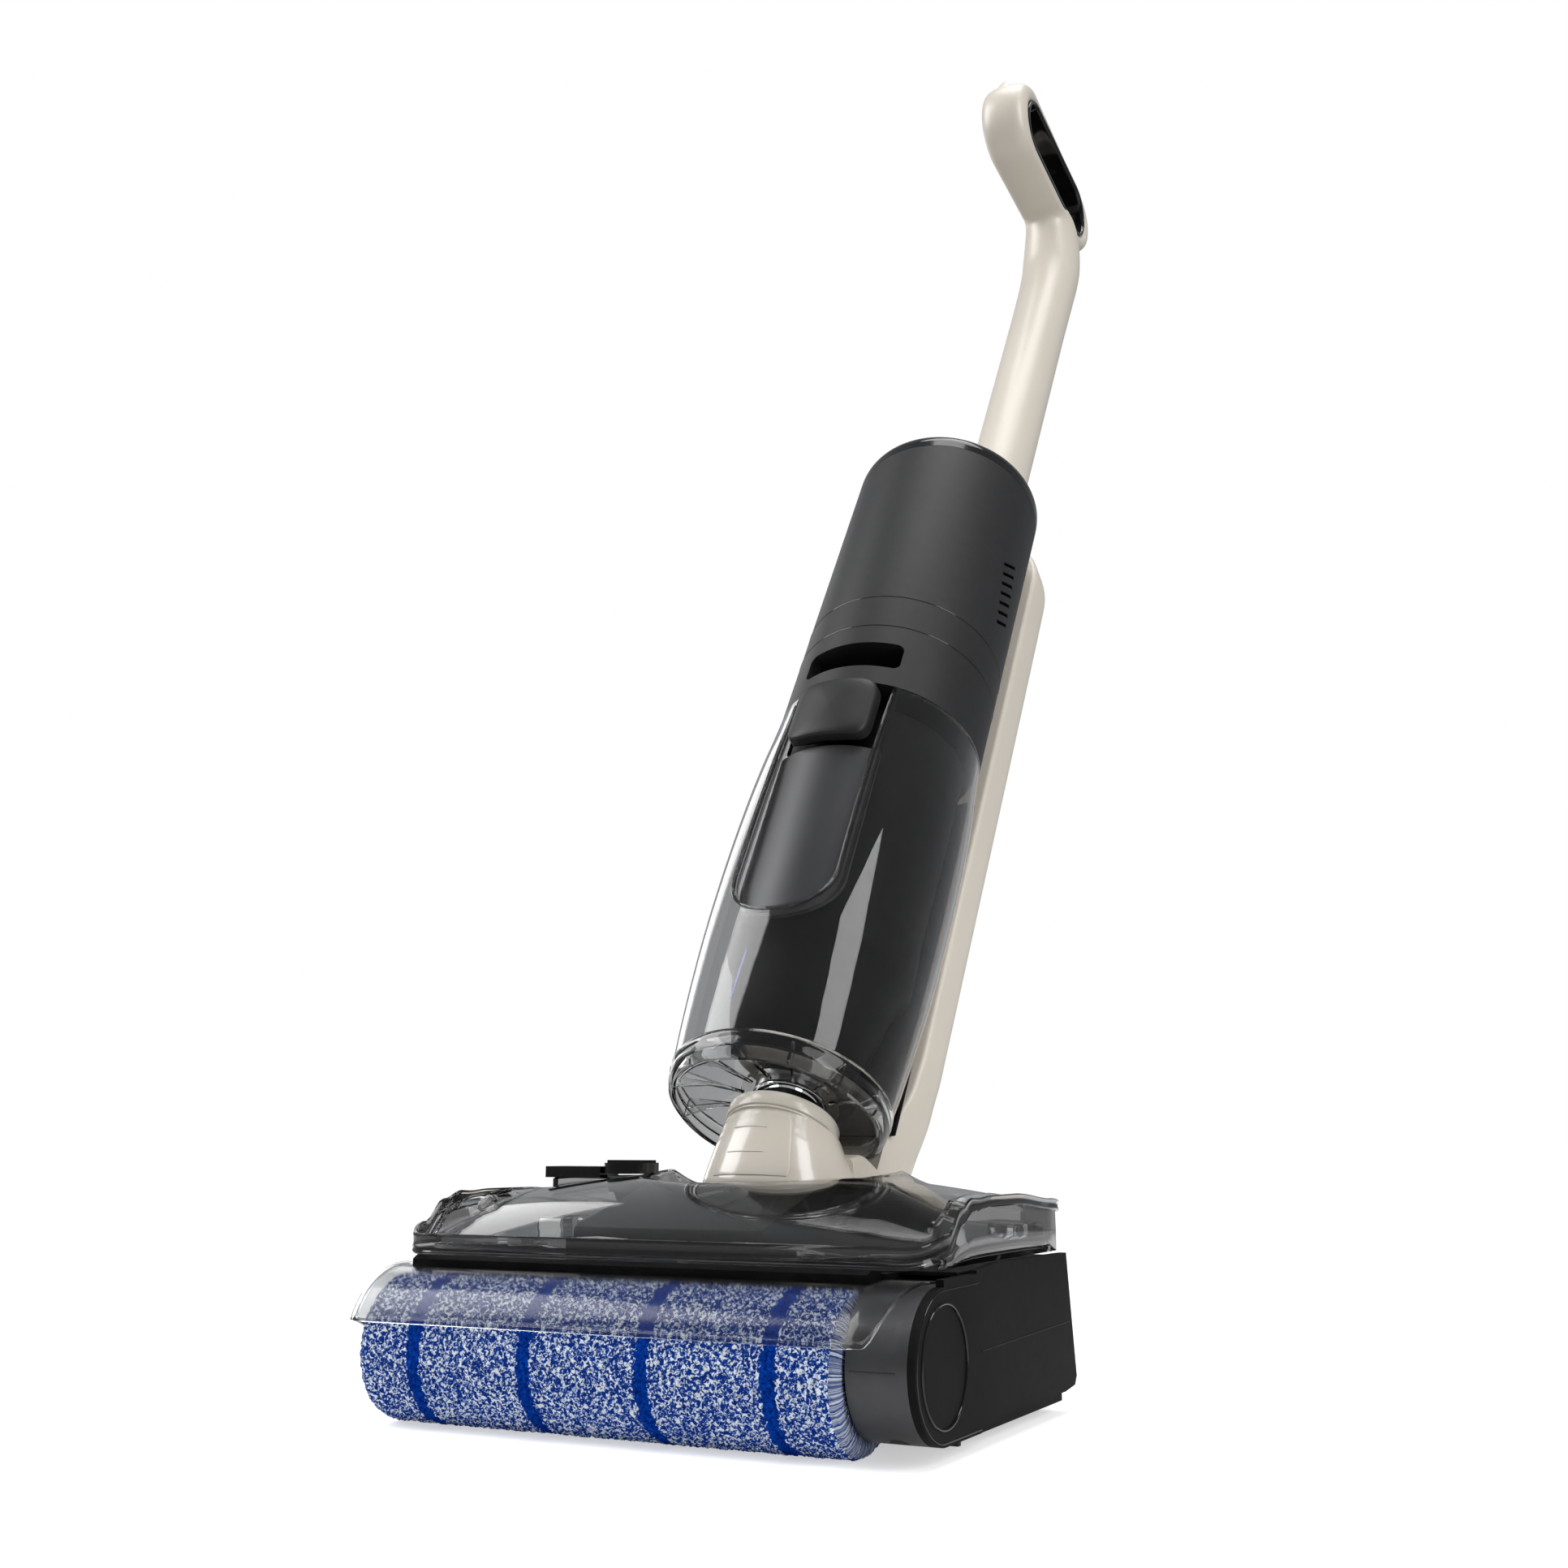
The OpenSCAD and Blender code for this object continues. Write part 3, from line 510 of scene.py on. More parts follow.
def pile_material(name, colours, sizes):
    """Blue and white speckled pile with narrow dark bands, and fibres that show as streaks on the end."""
    band_step, band_first, band_reach = 0.0609, -0.105, 0.115
    end_depth, band_waver = 0.0034, 0.004
    m, t, p = base_material(name)
    where = t.nodes.new("ShaderNodeTexCoord")
    apart = t.nodes.new("ShaderNodeSeparateXYZ")
    link(t, where, "Object", apart, 0)
    x = apart.outputs["X"]
    y = math_node(t, "SUBTRACT", apart.outputs["Y"], AXLE_Y)
    z = math_node(t, "SUBTRACT", apart.outputs["Z"], AXLE_Z)
    speck = noise(t, where, Scale=620.0, Detail=2.0, Roughness=0.6, Distortion=0.8)[1]
    speckled = ramp(t, speck, (0.475, colours.pile_blue), (0.52, (0.06, 0.17, 0.50)),
                    (0.585, colours.pile_white))
    dark = ramp(t, speck, (0.35, (0.0, 0.012, 0.16)), (0.7, (0.0, 0.07, 0.48)))
    streak = t.nodes.new("ShaderNodeTexNoise")
    streak.noise_dimensions = "1D"
    set_inputs(streak, Scale=26.0, Detail=3.0, Roughness=0.75)
    t.links.new(math_node(t, "ARCTAN2", z, y), streak.inputs["W"])
    fibres = ramp(t, streak.outputs[0], (0.36, (0.02, 0.055, 0.22)), (0.5, (0.16, 0.20, 0.33)),
                  (0.64, (0.66, 0.68, 0.72)))
    low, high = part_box("roller_pile")
    from_middle = math_node(t, "ABSOLUTE", math_node(t, "SUBTRACT", x, (low.x + high.x) / 2))
    end = math_node(t, "GREATER_THAN", from_middle, (high.x - low.x) / 2 - end_depth)
    wobble = math_node(t, "SUBTRACT", noise(t, where, Scale=320.0)[1], 0.5)
    place = math_node(t, "ADD", x, math_node(t, "MULTIPLY", wobble, band_waver))
    cycle = math_node(t, "PINGPONG", math_node(t, "SUBTRACT", place, band_first), band_step / 2)
    inside = math_node(t, "LESS_THAN", math_node(t, "ABSOLUTE", x), band_reach)
    band = math_node(t, "MULTIPLY", math_node(t, "LESS_THAN", cycle, sizes.band_width / 2), inside)
    t.links.new(mix_colours(t, end, mix_colours(t, band, speckled, dark), fibres), p.inputs["Base Color"])
    set_inputs(p, Roughness=0.9, Specular_IOR_Level=0.05)
    bump = set_inputs(t.nodes.new("ShaderNodeBump"), Strength=0.9, Distance=0.0012)
    t.links.new(speck, bump.inputs["Height"])
    link(t, bump, "Normal", p, "Normal")
    return m


def metal(name, colour, rough):
    return plastic(name, colour, rough, grain=1800.0, bump=0.05, dust=0.0, metallic=1.0, wear=0.2)


FINISH = {}


def build_finishes():
    """Makes every finish once, under the name that the pieces ask for."""
    c = bpy.context.scene.washer_colours
    build_grain_group()
    build_wear_group()
    FINISH.update({
        "beige_shell": plastic("beige satin paint", c.beige, 0.40, grain=2400.0, bump=0.10, mottle=0.07,
                               dust=0.01, metallic=0.05, coat=0.2, coat_rough=0.3),
        "beige_gloss": plastic("beige gloss moulding", c.beige, 0.22, grain=1500.0, bump=0.02, mottle=0.02,
                               coat=0.5, coat_rough=0.06),
        "charcoal_shell": plastic("charcoal satin moulding", c.charcoal, 0.46, bump=0.12, mottle=0.10,
                                  dust=0.006, specular=0.34),
        "black_plastic": plastic("black satin moulding", c.black, 0.56, grain=2400.0, bump=0.12, dust=0.002,
                                 specular=0.06),
        "black_gloss": plastic("black gloss moulding", (0.004, 0.004, 0.0043), 0.10, bump=0.01, mottle=0.02,
                               coat=0.25, coat_rough=0.05, spread=0.03, specular=0.3),
        "grey_plastic": plastic("grey moulding", (0.14, 0.14, 0.145), 0.5, bump=0.1),
        "satin_dark": plastic("dark satin metallic", (0.055, 0.055, 0.057), 0.40, bump=0.10, mottle=0.08,
                              dust=0.0, metallic=0.7),
        "smoke_clear": clear("smoke clear moulding", c.smoke, 0.015),
        "smoke_rim": clear("smoke rim moulding", (0.36, 0.36, 0.365), 0.03, passing=0.3),
        "smoke_lid": clear("smoke lid moulding", (0.62, 0.62, 0.62), 0.015, passing=0.45),
        "clear_haze": clear("hazy smoke moulding", (0.56, 0.565, 0.575), 0.14, 1.25, passing=0.6),
        "clear_plastic": clear("clear moulding", (0.92, 0.93, 0.93)),
        "blue_pile": pile_material("speckled pile", c, bpy.context.scene.washer_sizes),
        "rubber_black": plastic("black rubber", (0.012, 0.012, 0.012), 0.7, grain=1200.0, bump=0.2,
                                dust=0.05),
        "tyre_grey": plastic("grey tyre rubber", (0.03, 0.03, 0.031), 0.75, grain=1500.0, bump=0.25,
                             dust=0.08),
        "level_blue": plastic("level blue", (0.02, 0.09, 0.42), 0.35),
        "steel": metal("turned steel", (0.55, 0.55, 0.56), 0.3),
        "alu": metal("machined aluminium", (0.62, 0.62, 0.63), 0.35),
    })


# ---------------------------------------------------------------- pieces

class WASHER_OT_stage(bpy.types.Operator):
    """Pale floor, studio light and the camera."""
    bl_idname = "washer.stage"
    bl_label = "Stage"

    def execute(self, context):
        self.lay_floor(context)
        self.set_world(context.scene)
        aim = Vector((0, 0, 0.35))
        for name, place, size, power in (
                ("key softbox", (-2.5, -1.2, 2.3), (1.8, 2.4), 84),
                ("right strip", (2.3, -0.9, 1.5), (0.9, 2.4), 46),
                ("top panel", (0.2, 0.3, 3.2), (1.6, 1.6), 34),
                ("left rim strip", (-2.4, 1.6, 1.0), (0.8, 2.2), 9)):
            data = bpy.data.lights.new(name, "AREA")
            data.shape = "RECTANGLE"
            data.size, data.size_y = size
            data.energy = power
            self.hang(context.scene, name, data, Vector(place), aim - Vector(place))
        turn, pitch = radians(27.21), radians(11.60)
        data = bpy.data.cameras.new("camera")
        data.lens = 40.06
        data.sensor_width = 36.0
        data.clip_start = 0.05
        look = Vector((-sin(turn) * cos(pitch), cos(turn) * cos(pitch), sin(pitch)))
        context.scene.camera = self.hang(context.scene, "camera", data, to_head([426.1, -695.9, 129.2]), look)
        context.scene.view_settings.view_transform = "Standard"
        return {"FINISHED"}

    def hang(self, scene, name, data, place, look):
        """Puts a light or the camera in its place, facing along a direction."""
        obj = bpy.data.objects.new(name, data)
        obj.location = place
        obj.rotation_euler = look.to_track_quat("-Z", "Y").to_euler()
        scene.collection.objects.link(obj)
        return obj

    def lay_floor(self, context):
        """A floor that takes a soft shadow near the machine and glows white further out."""
        m, t, p = base_material("studio floor")
        set_inputs(p, Roughness=0.9, Specular_IOR_Level=0.1, Emission_Color=(1, 1, 1, 1))
        where = t.nodes.new("ShaderNodeTexCoord")
        far = t.nodes.new("ShaderNodeVectorMath")
        far.operation = "LENGTH"
        link(t, where, "Object", far, 0)
        fade = set_inputs(t.nodes.new("ShaderNodeMapRange"), From_Min=0.3, From_Max=1.3)
        t.links.new(far.outputs["Value"], fade.inputs["Value"])
        pale = t.nodes.new("ShaderNodeCombineColor")
        near = math_node(t, "MULTIPLY", math_node(t, "SUBTRACT", 1.0, fade.outputs["Result"]), 0.85)
        for k in range(3):
            t.links.new(near, pale.inputs[k])
        link(t, pale, "Color", p, "Base Color")
        direct = self.seen_directly(t, 0.45)
        glow = math_node(t, "ADD", math_node(t, "MULTIPLY", fade.outputs["Result"], 0.52), 0.50)
        dim = math_node(t, "MULTIPLY", math_node(t, "SUBTRACT", 1.0, direct), 0.16)
        t.links.new(math_node(t, "ADD", math_node(t, "MULTIPLY", direct, glow), dim),
                    p.inputs["Emission Strength"])
        bpy.ops.mesh.primitive_plane_add(size=60)
        floor = context.object
        floor.name = "studio_floor"
        floor.data.materials.append(m)

    def seen_directly(self, tree, through_clear):
        """1 for what the camera sees straight, a share of it for what it sees through a clear wall."""
        path = tree.nodes.new("ShaderNodeLightPath")
        through = math_node(tree, "MULTIPLY", path.outputs["Is Transmission Ray"], through_clear)
        return math_node(tree, "MAXIMUM", path.outputs["Is Camera Ray"], through)

    def set_world(self, scene):
        """White behind the machine, and a dimmer, cooler light on it."""
        scene.world = bpy.data.worlds.new("studio")
        scene.world.use_nodes = True
        t = scene.world.node_tree
        t.nodes.clear()
        out = t.nodes.new("ShaderNodeOutputWorld")
        mix = t.nodes.new("ShaderNodeMixShader")
        t.links.new(self.seen_directly(t, 0.35), mix.inputs[0])
        for k, colour, strength in ((1, (0.92, 0.95, 1.0, 1), 0.30), (2, (1, 1, 1, 1), 1.0)):
            sky = set_inputs(t.nodes.new("ShaderNodeBackground"), Color=colour, Strength=strength)
            t.links.new(sky.outputs[0], mix.inputs[k])
        t.links.new(mix.outputs[0], out.inputs[0])


class WASHER_OT_finishes(bpy.types.Operator):
    """Builds the finishes and puts each carried-over piece in its own."""
    bl_idname = "washer.finishes"
    bl_label = "Finishes"

    def execute(self, context):
        build_finishes()
        slots = {p["node"]: p["material_slot"] for p in frame["record"]["subparts"]}
        own_finish = {"drive_housing": "satin_dark", "recess_panel": "satin_dark",
                      "drive_side_cap": "black_plastic", "filler_cap": "black_gloss",
                      "clean_tank_latch": "black_gloss", "tank_base_ring": "smoke_clear",
                      "left_wing_cover": "smoke_clear", "right_wing_cover": "smoke_clear"}
        rounded = {"chassis": 0.8, "left_side_cover": 1.2, "right_side_cover": 1.2, "drive_housing": 1.6,
                   "drive_side_cap": 0.6, "scraper_bar": 0.6, "filler_cap": 1.6, "clean_tank_latch": 1.8,
                   "tank_latch": 1.6, "tank_lid": 1.0, "filter_cover": 0.5, "motor_housing": 0.5,
                   "lamp_lenses": 1.2, "base_plate": 0.5, "power_button": 0.6, "left_tyre": 2.0,
                   "right_tyre": 2.0}
        for name, obj in NODES.items():
            obj.data.materials.clear()
            obj.data.materials.append(FINISH[own_finish.get(name, slots[name])])
            shade(obj.data, 30)
            if name in rounded:
                soften(obj, rounded[name] * MM)
        return {"FINISHED"}


def roller_rings(radius, x0, x1, end_round, lump, along=300, around=300):
    """The pile's skin: round at both ends, uneven all over."""
    rng = np.random.default_rng(7)
    bends = [pi / 2 * k / 8 for k in range(9)]
    xs = [x0 + end_round * (1 - cos(a)) for a in bends]
    rs = [radius - end_round + end_round * sin(a) for a in bends]
    xs += [x0 + end_round + (x1 - x0 - 2 * end_round) * k / along for k in range(1, along)]
    rs += [radius] * (along - 1)
    for k in range(9):
        a = pi / 2 * (1 - k / 8)
        xs.append(x1 - end_round * (1 - cos(a)))
        rs.append(radius - end_round + end_round * sin(a))
    rs = np.array(rs)
    xs = np.array(xs)
    rough = rng.normal(0, 1, (len(xs), around))
    rough = (rough + np.roll(rough, 1, 1) + np.roll(rough, 1, 0) + np.roll(rough, -1, 1)) / 2.4
    r = rs[:, None] + np.minimum(rough * lump, lump * 1.4)
    a = turns(around)[None, :]
    x = np.repeat(xs[:, None], around, 1)
    return np.stack([x, AXLE_Y + r * np.cos(a), AXLE_Z + r * np.sin(a)], -1)


class WASHER_OT_roller(bpy.types.Operator):
    """The roller's pile and the fringe of loose fibres at its ends."""
    bl_idname = "washer.roller"
    bl_label = "Roller"

    def execute(self, context):
        sizes = context.scene.washer_sizes
        bore = 0.0212
        low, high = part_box("roller_pile")
        rings = roller_rings(sizes.pile_radius, low.x, high.x, 0.006, sizes.pile_lump)
        inner = [[(x, AXLE_Y + bore * cos(a), AXLE_Z + bore * sin(a)) for a in turns(rings.shape[1])]
                 for x in (high.x - 0.0005, low.x + 0.0005)]
        pile = loft("roller_pile_tufts", np.concatenate([rings, np.array(inner)]), close_rows=True,
                    smooth_angle=180)
        finish_piece(pile, "roller", "blue_pile", replaces=["roller_pile"])
        rng = np.random.default_rng(11)
        verts, faces = [], []
        for side, x_end in ((1, high.x), (-1, low.x)):
            for k in range(1500):
                a = rng.uniform(0, 2 * pi)
                r0 = rng.uniform(0.0225, 0.0300)
                reach = rng.uniform(0.003, 0.0062)
                r1 = min(r0 + reach, sizes.pile_radius - 0.0004)
                x0 = x_end - side * (0.0002 if r0 < 0.027 else 0.0012)
                x1 = x_end + side * rng.uniform(0.0, 0.0012) - side * max(0.0, r1 - 0.0285) * 0.9
                half = rng.uniform(0.00018, 0.00034)
                out = np.array([0, cos(a), sin(a)])
                across = np.array([0, -sin(a), cos(a)])
                base = np.array([x0, AXLE_Y, AXLE_Z]) + out * r0
                tip = np.array([x1, AXLE_Y, AXLE_Z]) + out * r1
                lift = np.array([side * 0.0004, 0, 0])
                n = len(verts)
                verts += [base - across * half, base + across * half, base + lift, tip]
                faces += [(n, n + 1, n + 3), (n + 1, n + 2, n + 3), (n + 2, n, n + 3), (n, n + 2, n + 1)]
        finish_piece(add_object("roller_end_fibres", verts, faces, 180), "roller", "blue_pile")
        return {"FINISHED"}


class WASHER_OT_front_cover(bpy.types.Operator):
    """The clear cover over the roller, with its beaded lip and its tail over the drive end."""
    bl_idname = "washer.front_cover"
    bl_label = "Front cover"

    def execute(self, context):
        left, right, tail = -HALF_W + 1.2, 111.0, HALF_W - 3.6
        lip_angle, back_angle = degrees(atan2(14.0, -35.0)), 76.0
        stations = [left, left + 2, left + 30, -60, 0, 60, 100, right]
        stations += [right + (tail - right) * k / 12 for k in range(1, 13)]
        sections = []
        for x in stations:
            t = max(0.0, (x - right) / (tail - right))
            low = lip_angle - 64.0 * (smooth_step(0.35, 1.0, t) ** 1.3)
            r = 37.2 + 1.4 * smooth_step(0.0, 0.2, t)
            outside, inside = [], []
            for k in range(41):
                a = radians(low + (back_angle - low) * k / 40)
                lip = 0.45 * max(0.0, 1 - abs(k - 1))
                outside.append((x, (r + lip) * cos(a), ROLLER_UP + (r + lip) * sin(a)))
                inside.append((x, (r - 1.1) * cos(a), ROLLER_UP + (r - 1.1) * sin(a)))
            sections.append(outside + inside[::-1])
        cover = loft("front_cover_shell", to_head(sections))
        finish_piece(cover, "front_cover", "smoke_clear", "clear_haze", ["roller_cover"])
        profile = ((37.6, left - 0.9), (38.2, left + 0.2), (36.6, left + 0.8), (27.0, left + 0.3),
                   (24.8, left - 0.4))
        end = [[(x, r * cos(radians(a)), ROLLER_UP + r * sin(radians(a))) for a in range(78, 159, 4)]
               for r, x in profile]
        piece = sheet("front_cover_left_end", end, to_head, 0.0012)
        finish_piece(piece, "front_cover", "clear_plastic", replaces=["roller_cover_end"])
        return {"FINISHED"}


# Height of the lid's lower edge along the side of the head, by distance behind the roller axis
LID_EDGE = [(-4, 77.0), (16, 82.0), (30, 94.0), (44, 99.5), (66, 101.0), (100, 101.0), (150, 97.5),
            (172, 95.0)]


def lid_height(x, y):
    arch = 115 - 190 + sqrt(max(0.0, 190 ** 2 - (y - 100) ** 2))
    return arch - x * x / (2 * 773)


def lid_low(x, y):
    """Height of the lid's lower edge at a place on its outline."""
    if abs(x) < 60 and y > 150:
        return 95.0
    side = smooth_step(HALF_W - 40, HALF_W - 8, abs(x))
    return LID_LOW + (curve_value(LID_EDGE, y) - LID_LOW) * max(side, smooth_step(60, 160, y))


def lid_outline(inset, count=240):
    """The lid's plan from the rear gap round the front and back, moved in towards the bowl."""
    hw, front, rear, gap = HALF_W - 2.5, -5.5, 171.5, 55.0
    corners = [(hw - 16, rear - 16, 16, 90, 0), (hw - 20, front + 20, 20, 0, -90),
               (-hw + 20, front + 20, 20, -90, -180), (-hw + 16, rear - 16, 16, 180, 90)]
    raw = [(gap, rear)]
    for cx, cy, r, a0, a1 in corners:
        raw += arc(cx, cy, r, a0, a1, 24)
    raw += [(-gap, rear)]
    raw = np.array(raw)
    steps = np.r_[0, np.cumsum(np.hypot(*np.diff(raw, axis=0).T))]
    at = np.linspace(0, steps[-1], count)
    out = np.stack([np.interp(at, steps, raw[:, 0]), np.interp(at, steps, raw[:, 1])], -1)
    way = np.array(bowl_plan(out, BOWL_RADIUS)) - out
    way /= np.linalg.norm(way, axis=1)[:, None]
    return out + way * inset


def bowl_plan(points, radius):
    """The bowl's edge as each place of the lid's outline faces it, with straight sides behind the neck."""
    rows = []
    for x, y in points:
        a = atan2(x, y - PIVOT_Y)
        px, py = radius * sin(a), PIVOT_Y + radius * cos(a)
        if py > PIVOT_Y + 10 and abs(px) < BOWL_SIDE:
            px = BOWL_SIDE if px > 0 else -BOWL_SIDE
            py = PIVOT_Y + sqrt(max(0.0, radius ** 2 - px ** 2))
        rows.append((px, py))
    return rows


def ear(x, y):
    """The lid's rim rises in two dark points beside the neck."""
    a = degrees(atan2(abs(x), y - PIVOT_Y))
    far = sqrt(x * x + (y - PIVOT_Y) ** 2)
    return 7.0 * max(0.0, 1 - abs(a - 84) / 34) ** 1.5 * max(0.0, 1 - max(0.0, far - BOWL_RADIUS) / 26) ** 2


class WASHER_OT_water_tank(bpy.types.Operator):
    """The clear water tank: domed lid, rim band, the bowl round the neck and the foot under its knob."""
    bl_idname = "washer.water_tank"
    bl_label = "Water tank"

    def execute(self, context):
        edge = lid_outline(0.0)
        lows = [lid_low(x, y) for x, y in edge]
        shoulder, turn_in, drop = 9.0, 15.0, 1.6

        def row(ring, height):
            return [(x, y, height(x, y, low)) for (x, y), low in zip(ring, lows)]

        rows = [row(edge, lambda x, y, low: low),
                row(edge, lambda x, y, low: low + 0.35 * max(1.0, lid_height(x, y) - shoulder - low))]
        for k in range(9):
            a = pi / 2 * k / 8
            rows.append(row(lid_outline(turn_in * (1 - cos(a))), lambda x, y, low: max(
                low + 1.5 + 0.4 * k, lid_height(x, y) - shoulder * (1 - sin(a)))))
        start = lid_outline(turn_in)
        bowl = np.array(bowl_plan(edge, BOWL_RADIUS))
        for k in range(1, 29):
            t = k / 28
            sink = drop * max(0.0, (t - 0.95) / 0.05) ** 2
            rows.append(row(start + (bowl - start) * t,
                            lambda x, y, low: lid_height(x, y) + ear(x, y) - sink))
        for k in range(1, 9):
            a = pi / 2 * k / 8
            sink = drop + 3.0 * (1 - cos(a)) + 1.3 * k
            rows.append(row(bowl_plan(edge, BOWL_RADIUS - 3.0 * sin(a) - 0.55 * k),
                            lambda x, y, low: lid_height(x, y) + ear(x, y) - sink))
        wall = context.scene.washer_sizes.tank_wall
        lid = sheet("water_tank_lid", rows, to_head, wall, smooth_angle=60, offset=-1)
        finish_piece(lid, "water_tank", "smoke_clear", "smoke_lid", ["clean_tank"])
        # Thick rim round the lid's lower edge, with a bead along its top and its bottom
        band = []
        for out, share in ((-0.2, 0.02), (-1.5, 0.0), (-1.9, 0.08), (-1.5, 0.18), (-1.2, 0.5), (-1.5, 0.82),
                           (-1.8, 0.92), (-1.4, 1.0), (-0.2, 1.02)):
            band.append([(x, y, low - 0.4 + (9.5 - 4.5 * smooth_step(10, 60, edge_y)) * share)
                         for (x, y), (_, edge_y), low in zip(lid_outline(out), edge, lows)])
        rim = sheet("water_tank_rim", band, to_head, smooth_angle=50)
        finish_piece(rim, "water_tank", "smoke_clear", "smoke_rim")
        # Foot that joins the filler knob and the catch
        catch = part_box("clean_tank_latch")[0]
        knob_low, knob_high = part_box("filler_cap")
        mid_y = (knob_low.y + knob_high.y) / 2 / MM - AXLE_Y / MM
        rings = []
        for grow, lift in ((0.0, None), (0.0, -0.2), (-1.2, 0.8)):
            plan = arc(knob_high.x / MM - 13, mid_y, 13 + grow, -90, 90, 16)
            plan += arc(catch.x / MM + 9, mid_y, 8 + grow, 90, 270, 16)
            rings.append([(x, y, lid_height(x, y) - 3.0 if lift is None else catch.z / MM + lift)
                          for x, y in plan])
        finish_piece(loft("knob_base", to_head(rings), smooth_angle=50), "water_tank", "black_gloss")
        return {"FINISHED"}


class WASHER_OT_head_shell(bpy.types.Operator):
    """The dark block under the lid, the deck, the covers' seams and the windows beside the lamps."""
    bl_idname = "washer.head_shell"
    bl_label = "Head shell"

    def execute(self, context):
        plan = [(-50, 14), (50, 14), (50, 82), (84, 138), (84, 168), (56, 168), (56, 150)]
        plan += [(64 * cos(radians(a)), PIVOT_Y + 64 * sin(radians(a))) for a in range(20, -201, -10)]
        plan += [(-56, 150), (-56, 168), (-84, 168), (-84, 138), (-50, 82)]
        foot, under_lid = 74.5, 3.4
        rings = [[(x * shrink, y, foot + (lid_height(x, y) - under_lid - foot) * t) for x, y in plan]
                 for t, shrink in ((0.0, 1.0), (0.5, 1.0), (0.9, 1.0), (1.0, 0.985))]
        block = loft("duct_block", to_head(rings), smooth_angle=25)
        finish_piece(block, "head", "charcoal_shell", replaces=["duct_cover"])
        bowl = [[(r * sin(radians(a)), PIVOT_Y - r * cos(radians(a)), z) for a in range(-92, 93, 4)]
                for r, z in ((62.5, 104), (61.5, 100), (58.5, 92), (55, 84), (52, 78), (50.6, 74.6))]
        finish_piece(sheet("neck_bowl", bowl, to_head, 0.0014, smooth_angle=60), "head", "black_gloss")
        plan = [(-136, 32), (136, 32), (136, 166), (57, 166), (57, 112), (-57, 112), (-57, 166), (-136, 166)]
        deck = prism("tank_deck", plan, 72.3, 74.2, to_head, "xy")
        soften(deck, 0.0005)
        finish_piece(deck, "head", "black_plastic")
        section = [(0, 67.6), (14, 69.4), (14, 76.0), (4, 76.3), (0, 74)]
        strip = prism("front_strip", section, -134, 108, to_head, "yz")
        finish_piece(strip, "head", "black_plastic")
        self.lay_seams()
        for side, name in ((1, "right"), (-1, "left")):
            self.close_side(side, name)
        return {"FINISHED"}

    def lay_seams(self):
        """Seams along the side covers and round the drive end, and the raised ring on it."""
        proud = HALF_W + 0.05
        for side, name in ((1, "right"), (-1, "left")):
            line = [(side * proud, y, 40.5 + 0.018 * (y - 50)) for y in range(46, 174, 8)]
            bead("side_seam_" + name, to_head(line), 0.32, "head", "black_gloss")
        ring = [(HALF_W + 0.1, DRIVE_Y + 24.9 * cos(a), DRIVE_UP + 24.9 * sin(a)) for a in turns(72)]
        bead("drive_end_ring", to_head(ring), 0.55, "head", "black_gloss", closed=True, sides=8)
        outline = [(44, 69)] + arc(DRIVE_Y, DRIVE_UP, 30.2, 95, 265, 40) + [(44, 8.4)]
        bead("drive_end_seam", to_head([(proud, y, z) for y, z in outline]), 0.3, "head", "black_gloss")
        front = [(x, DRIVE_Y - 31.55, DRIVE_UP) for x in range(112, 136, 4)]
        bead("drive_front_seam", to_head(front), 0.3, "head", "black_gloss")

    def close_side(self, side, name):
        """A clear window between the side cover and the lid's edge, with the lamp behind it."""
        outer = HALF_W - 2.4
        rows = []
        for y in [6, 12, 18, 24, 30, 36, 44, 54, 66, 80, 96, 112, 128, 144, 156, 162, 166]:
            top = curve_value(LID_EDGE, y) + 0.4
            x = outer - 5.0 * smooth_step(150, 168, y) ** 2
            rows.append([(side * x, y, LID_LOW), (side * x, y, (LID_LOW + top) / 2), (side * x, y, top),
                         (side * (x - 3), y, top + 0.6)])
        top = 95.5
        for k in range(1, 7):
            a = pi / 2 * k / 6
            y = 166 + 3.0 * sin(a)
            x = outer - (5 + 8 * (1 - cos(a)) + 10 * (k / 6))
            rows.append([(side * x, y, LID_LOW), (side * x, y, 86), (side * x, y, top),
                         (side * (x - 2), y - 1, top + 0.6)])
        window = sheet("side_window_" + name, rows, to_head, 0.0016, smooth_angle=40)
        finish_piece(window, "head", "smoke_clear", "smoke_rim", [name + "_wing_cover"])
        outline = []
        for y, z, turn in ((143, 88, 0), (107, 88, 90), (107, 83, 180), (143, 83, 270)):
            outline += arc(y, z, 3, turn, turn + 90, 5)
        ends = [[(side * x, y, z) for y, z in outline] for x in (112, HALF_W - 6)]
        cup = loft("lamp_cup_" + name, to_head(ends))
        soften(cup, 0.0006)
        finish_piece(cup, "head", "clear_plastic", replaces=["lamp_lenses"] if side == 1 else [])
        profile = [(1.5, 0), (2.5, 1), (4.2, 4), (5.0, 8), (4.6, 8), (3.8, 4), (2.0, 1.6)]
        reflector = lathe(
            "lamp_reflector_" + name, profile,
            lambda p: to_head(np.stack([side * (117 + p[:, 2]), 124 + p[:, 0], 85.5 + p[:, 1]], -1)), 24)
        finish_piece(reflector, "head", "steel")


def neck_ring(h, r, count=96):
    """One round of the neck, h up from the hinge: square to the neck, and to the tank's axis at the collar."""
    tilt = radians(NECK_LEAN * (1 - smooth_step(30, 62, h)))
    off = NECK_OFF - sin(radians(NECK_LEAN)) * h
    up = -NECK_RISE + cos(radians(NECK_LEAN)) * h
    return [(r * cos(a), off + r * sin(a) * cos(tilt), up + r * sin(a) * sin(tilt)) for a in turns(count)]


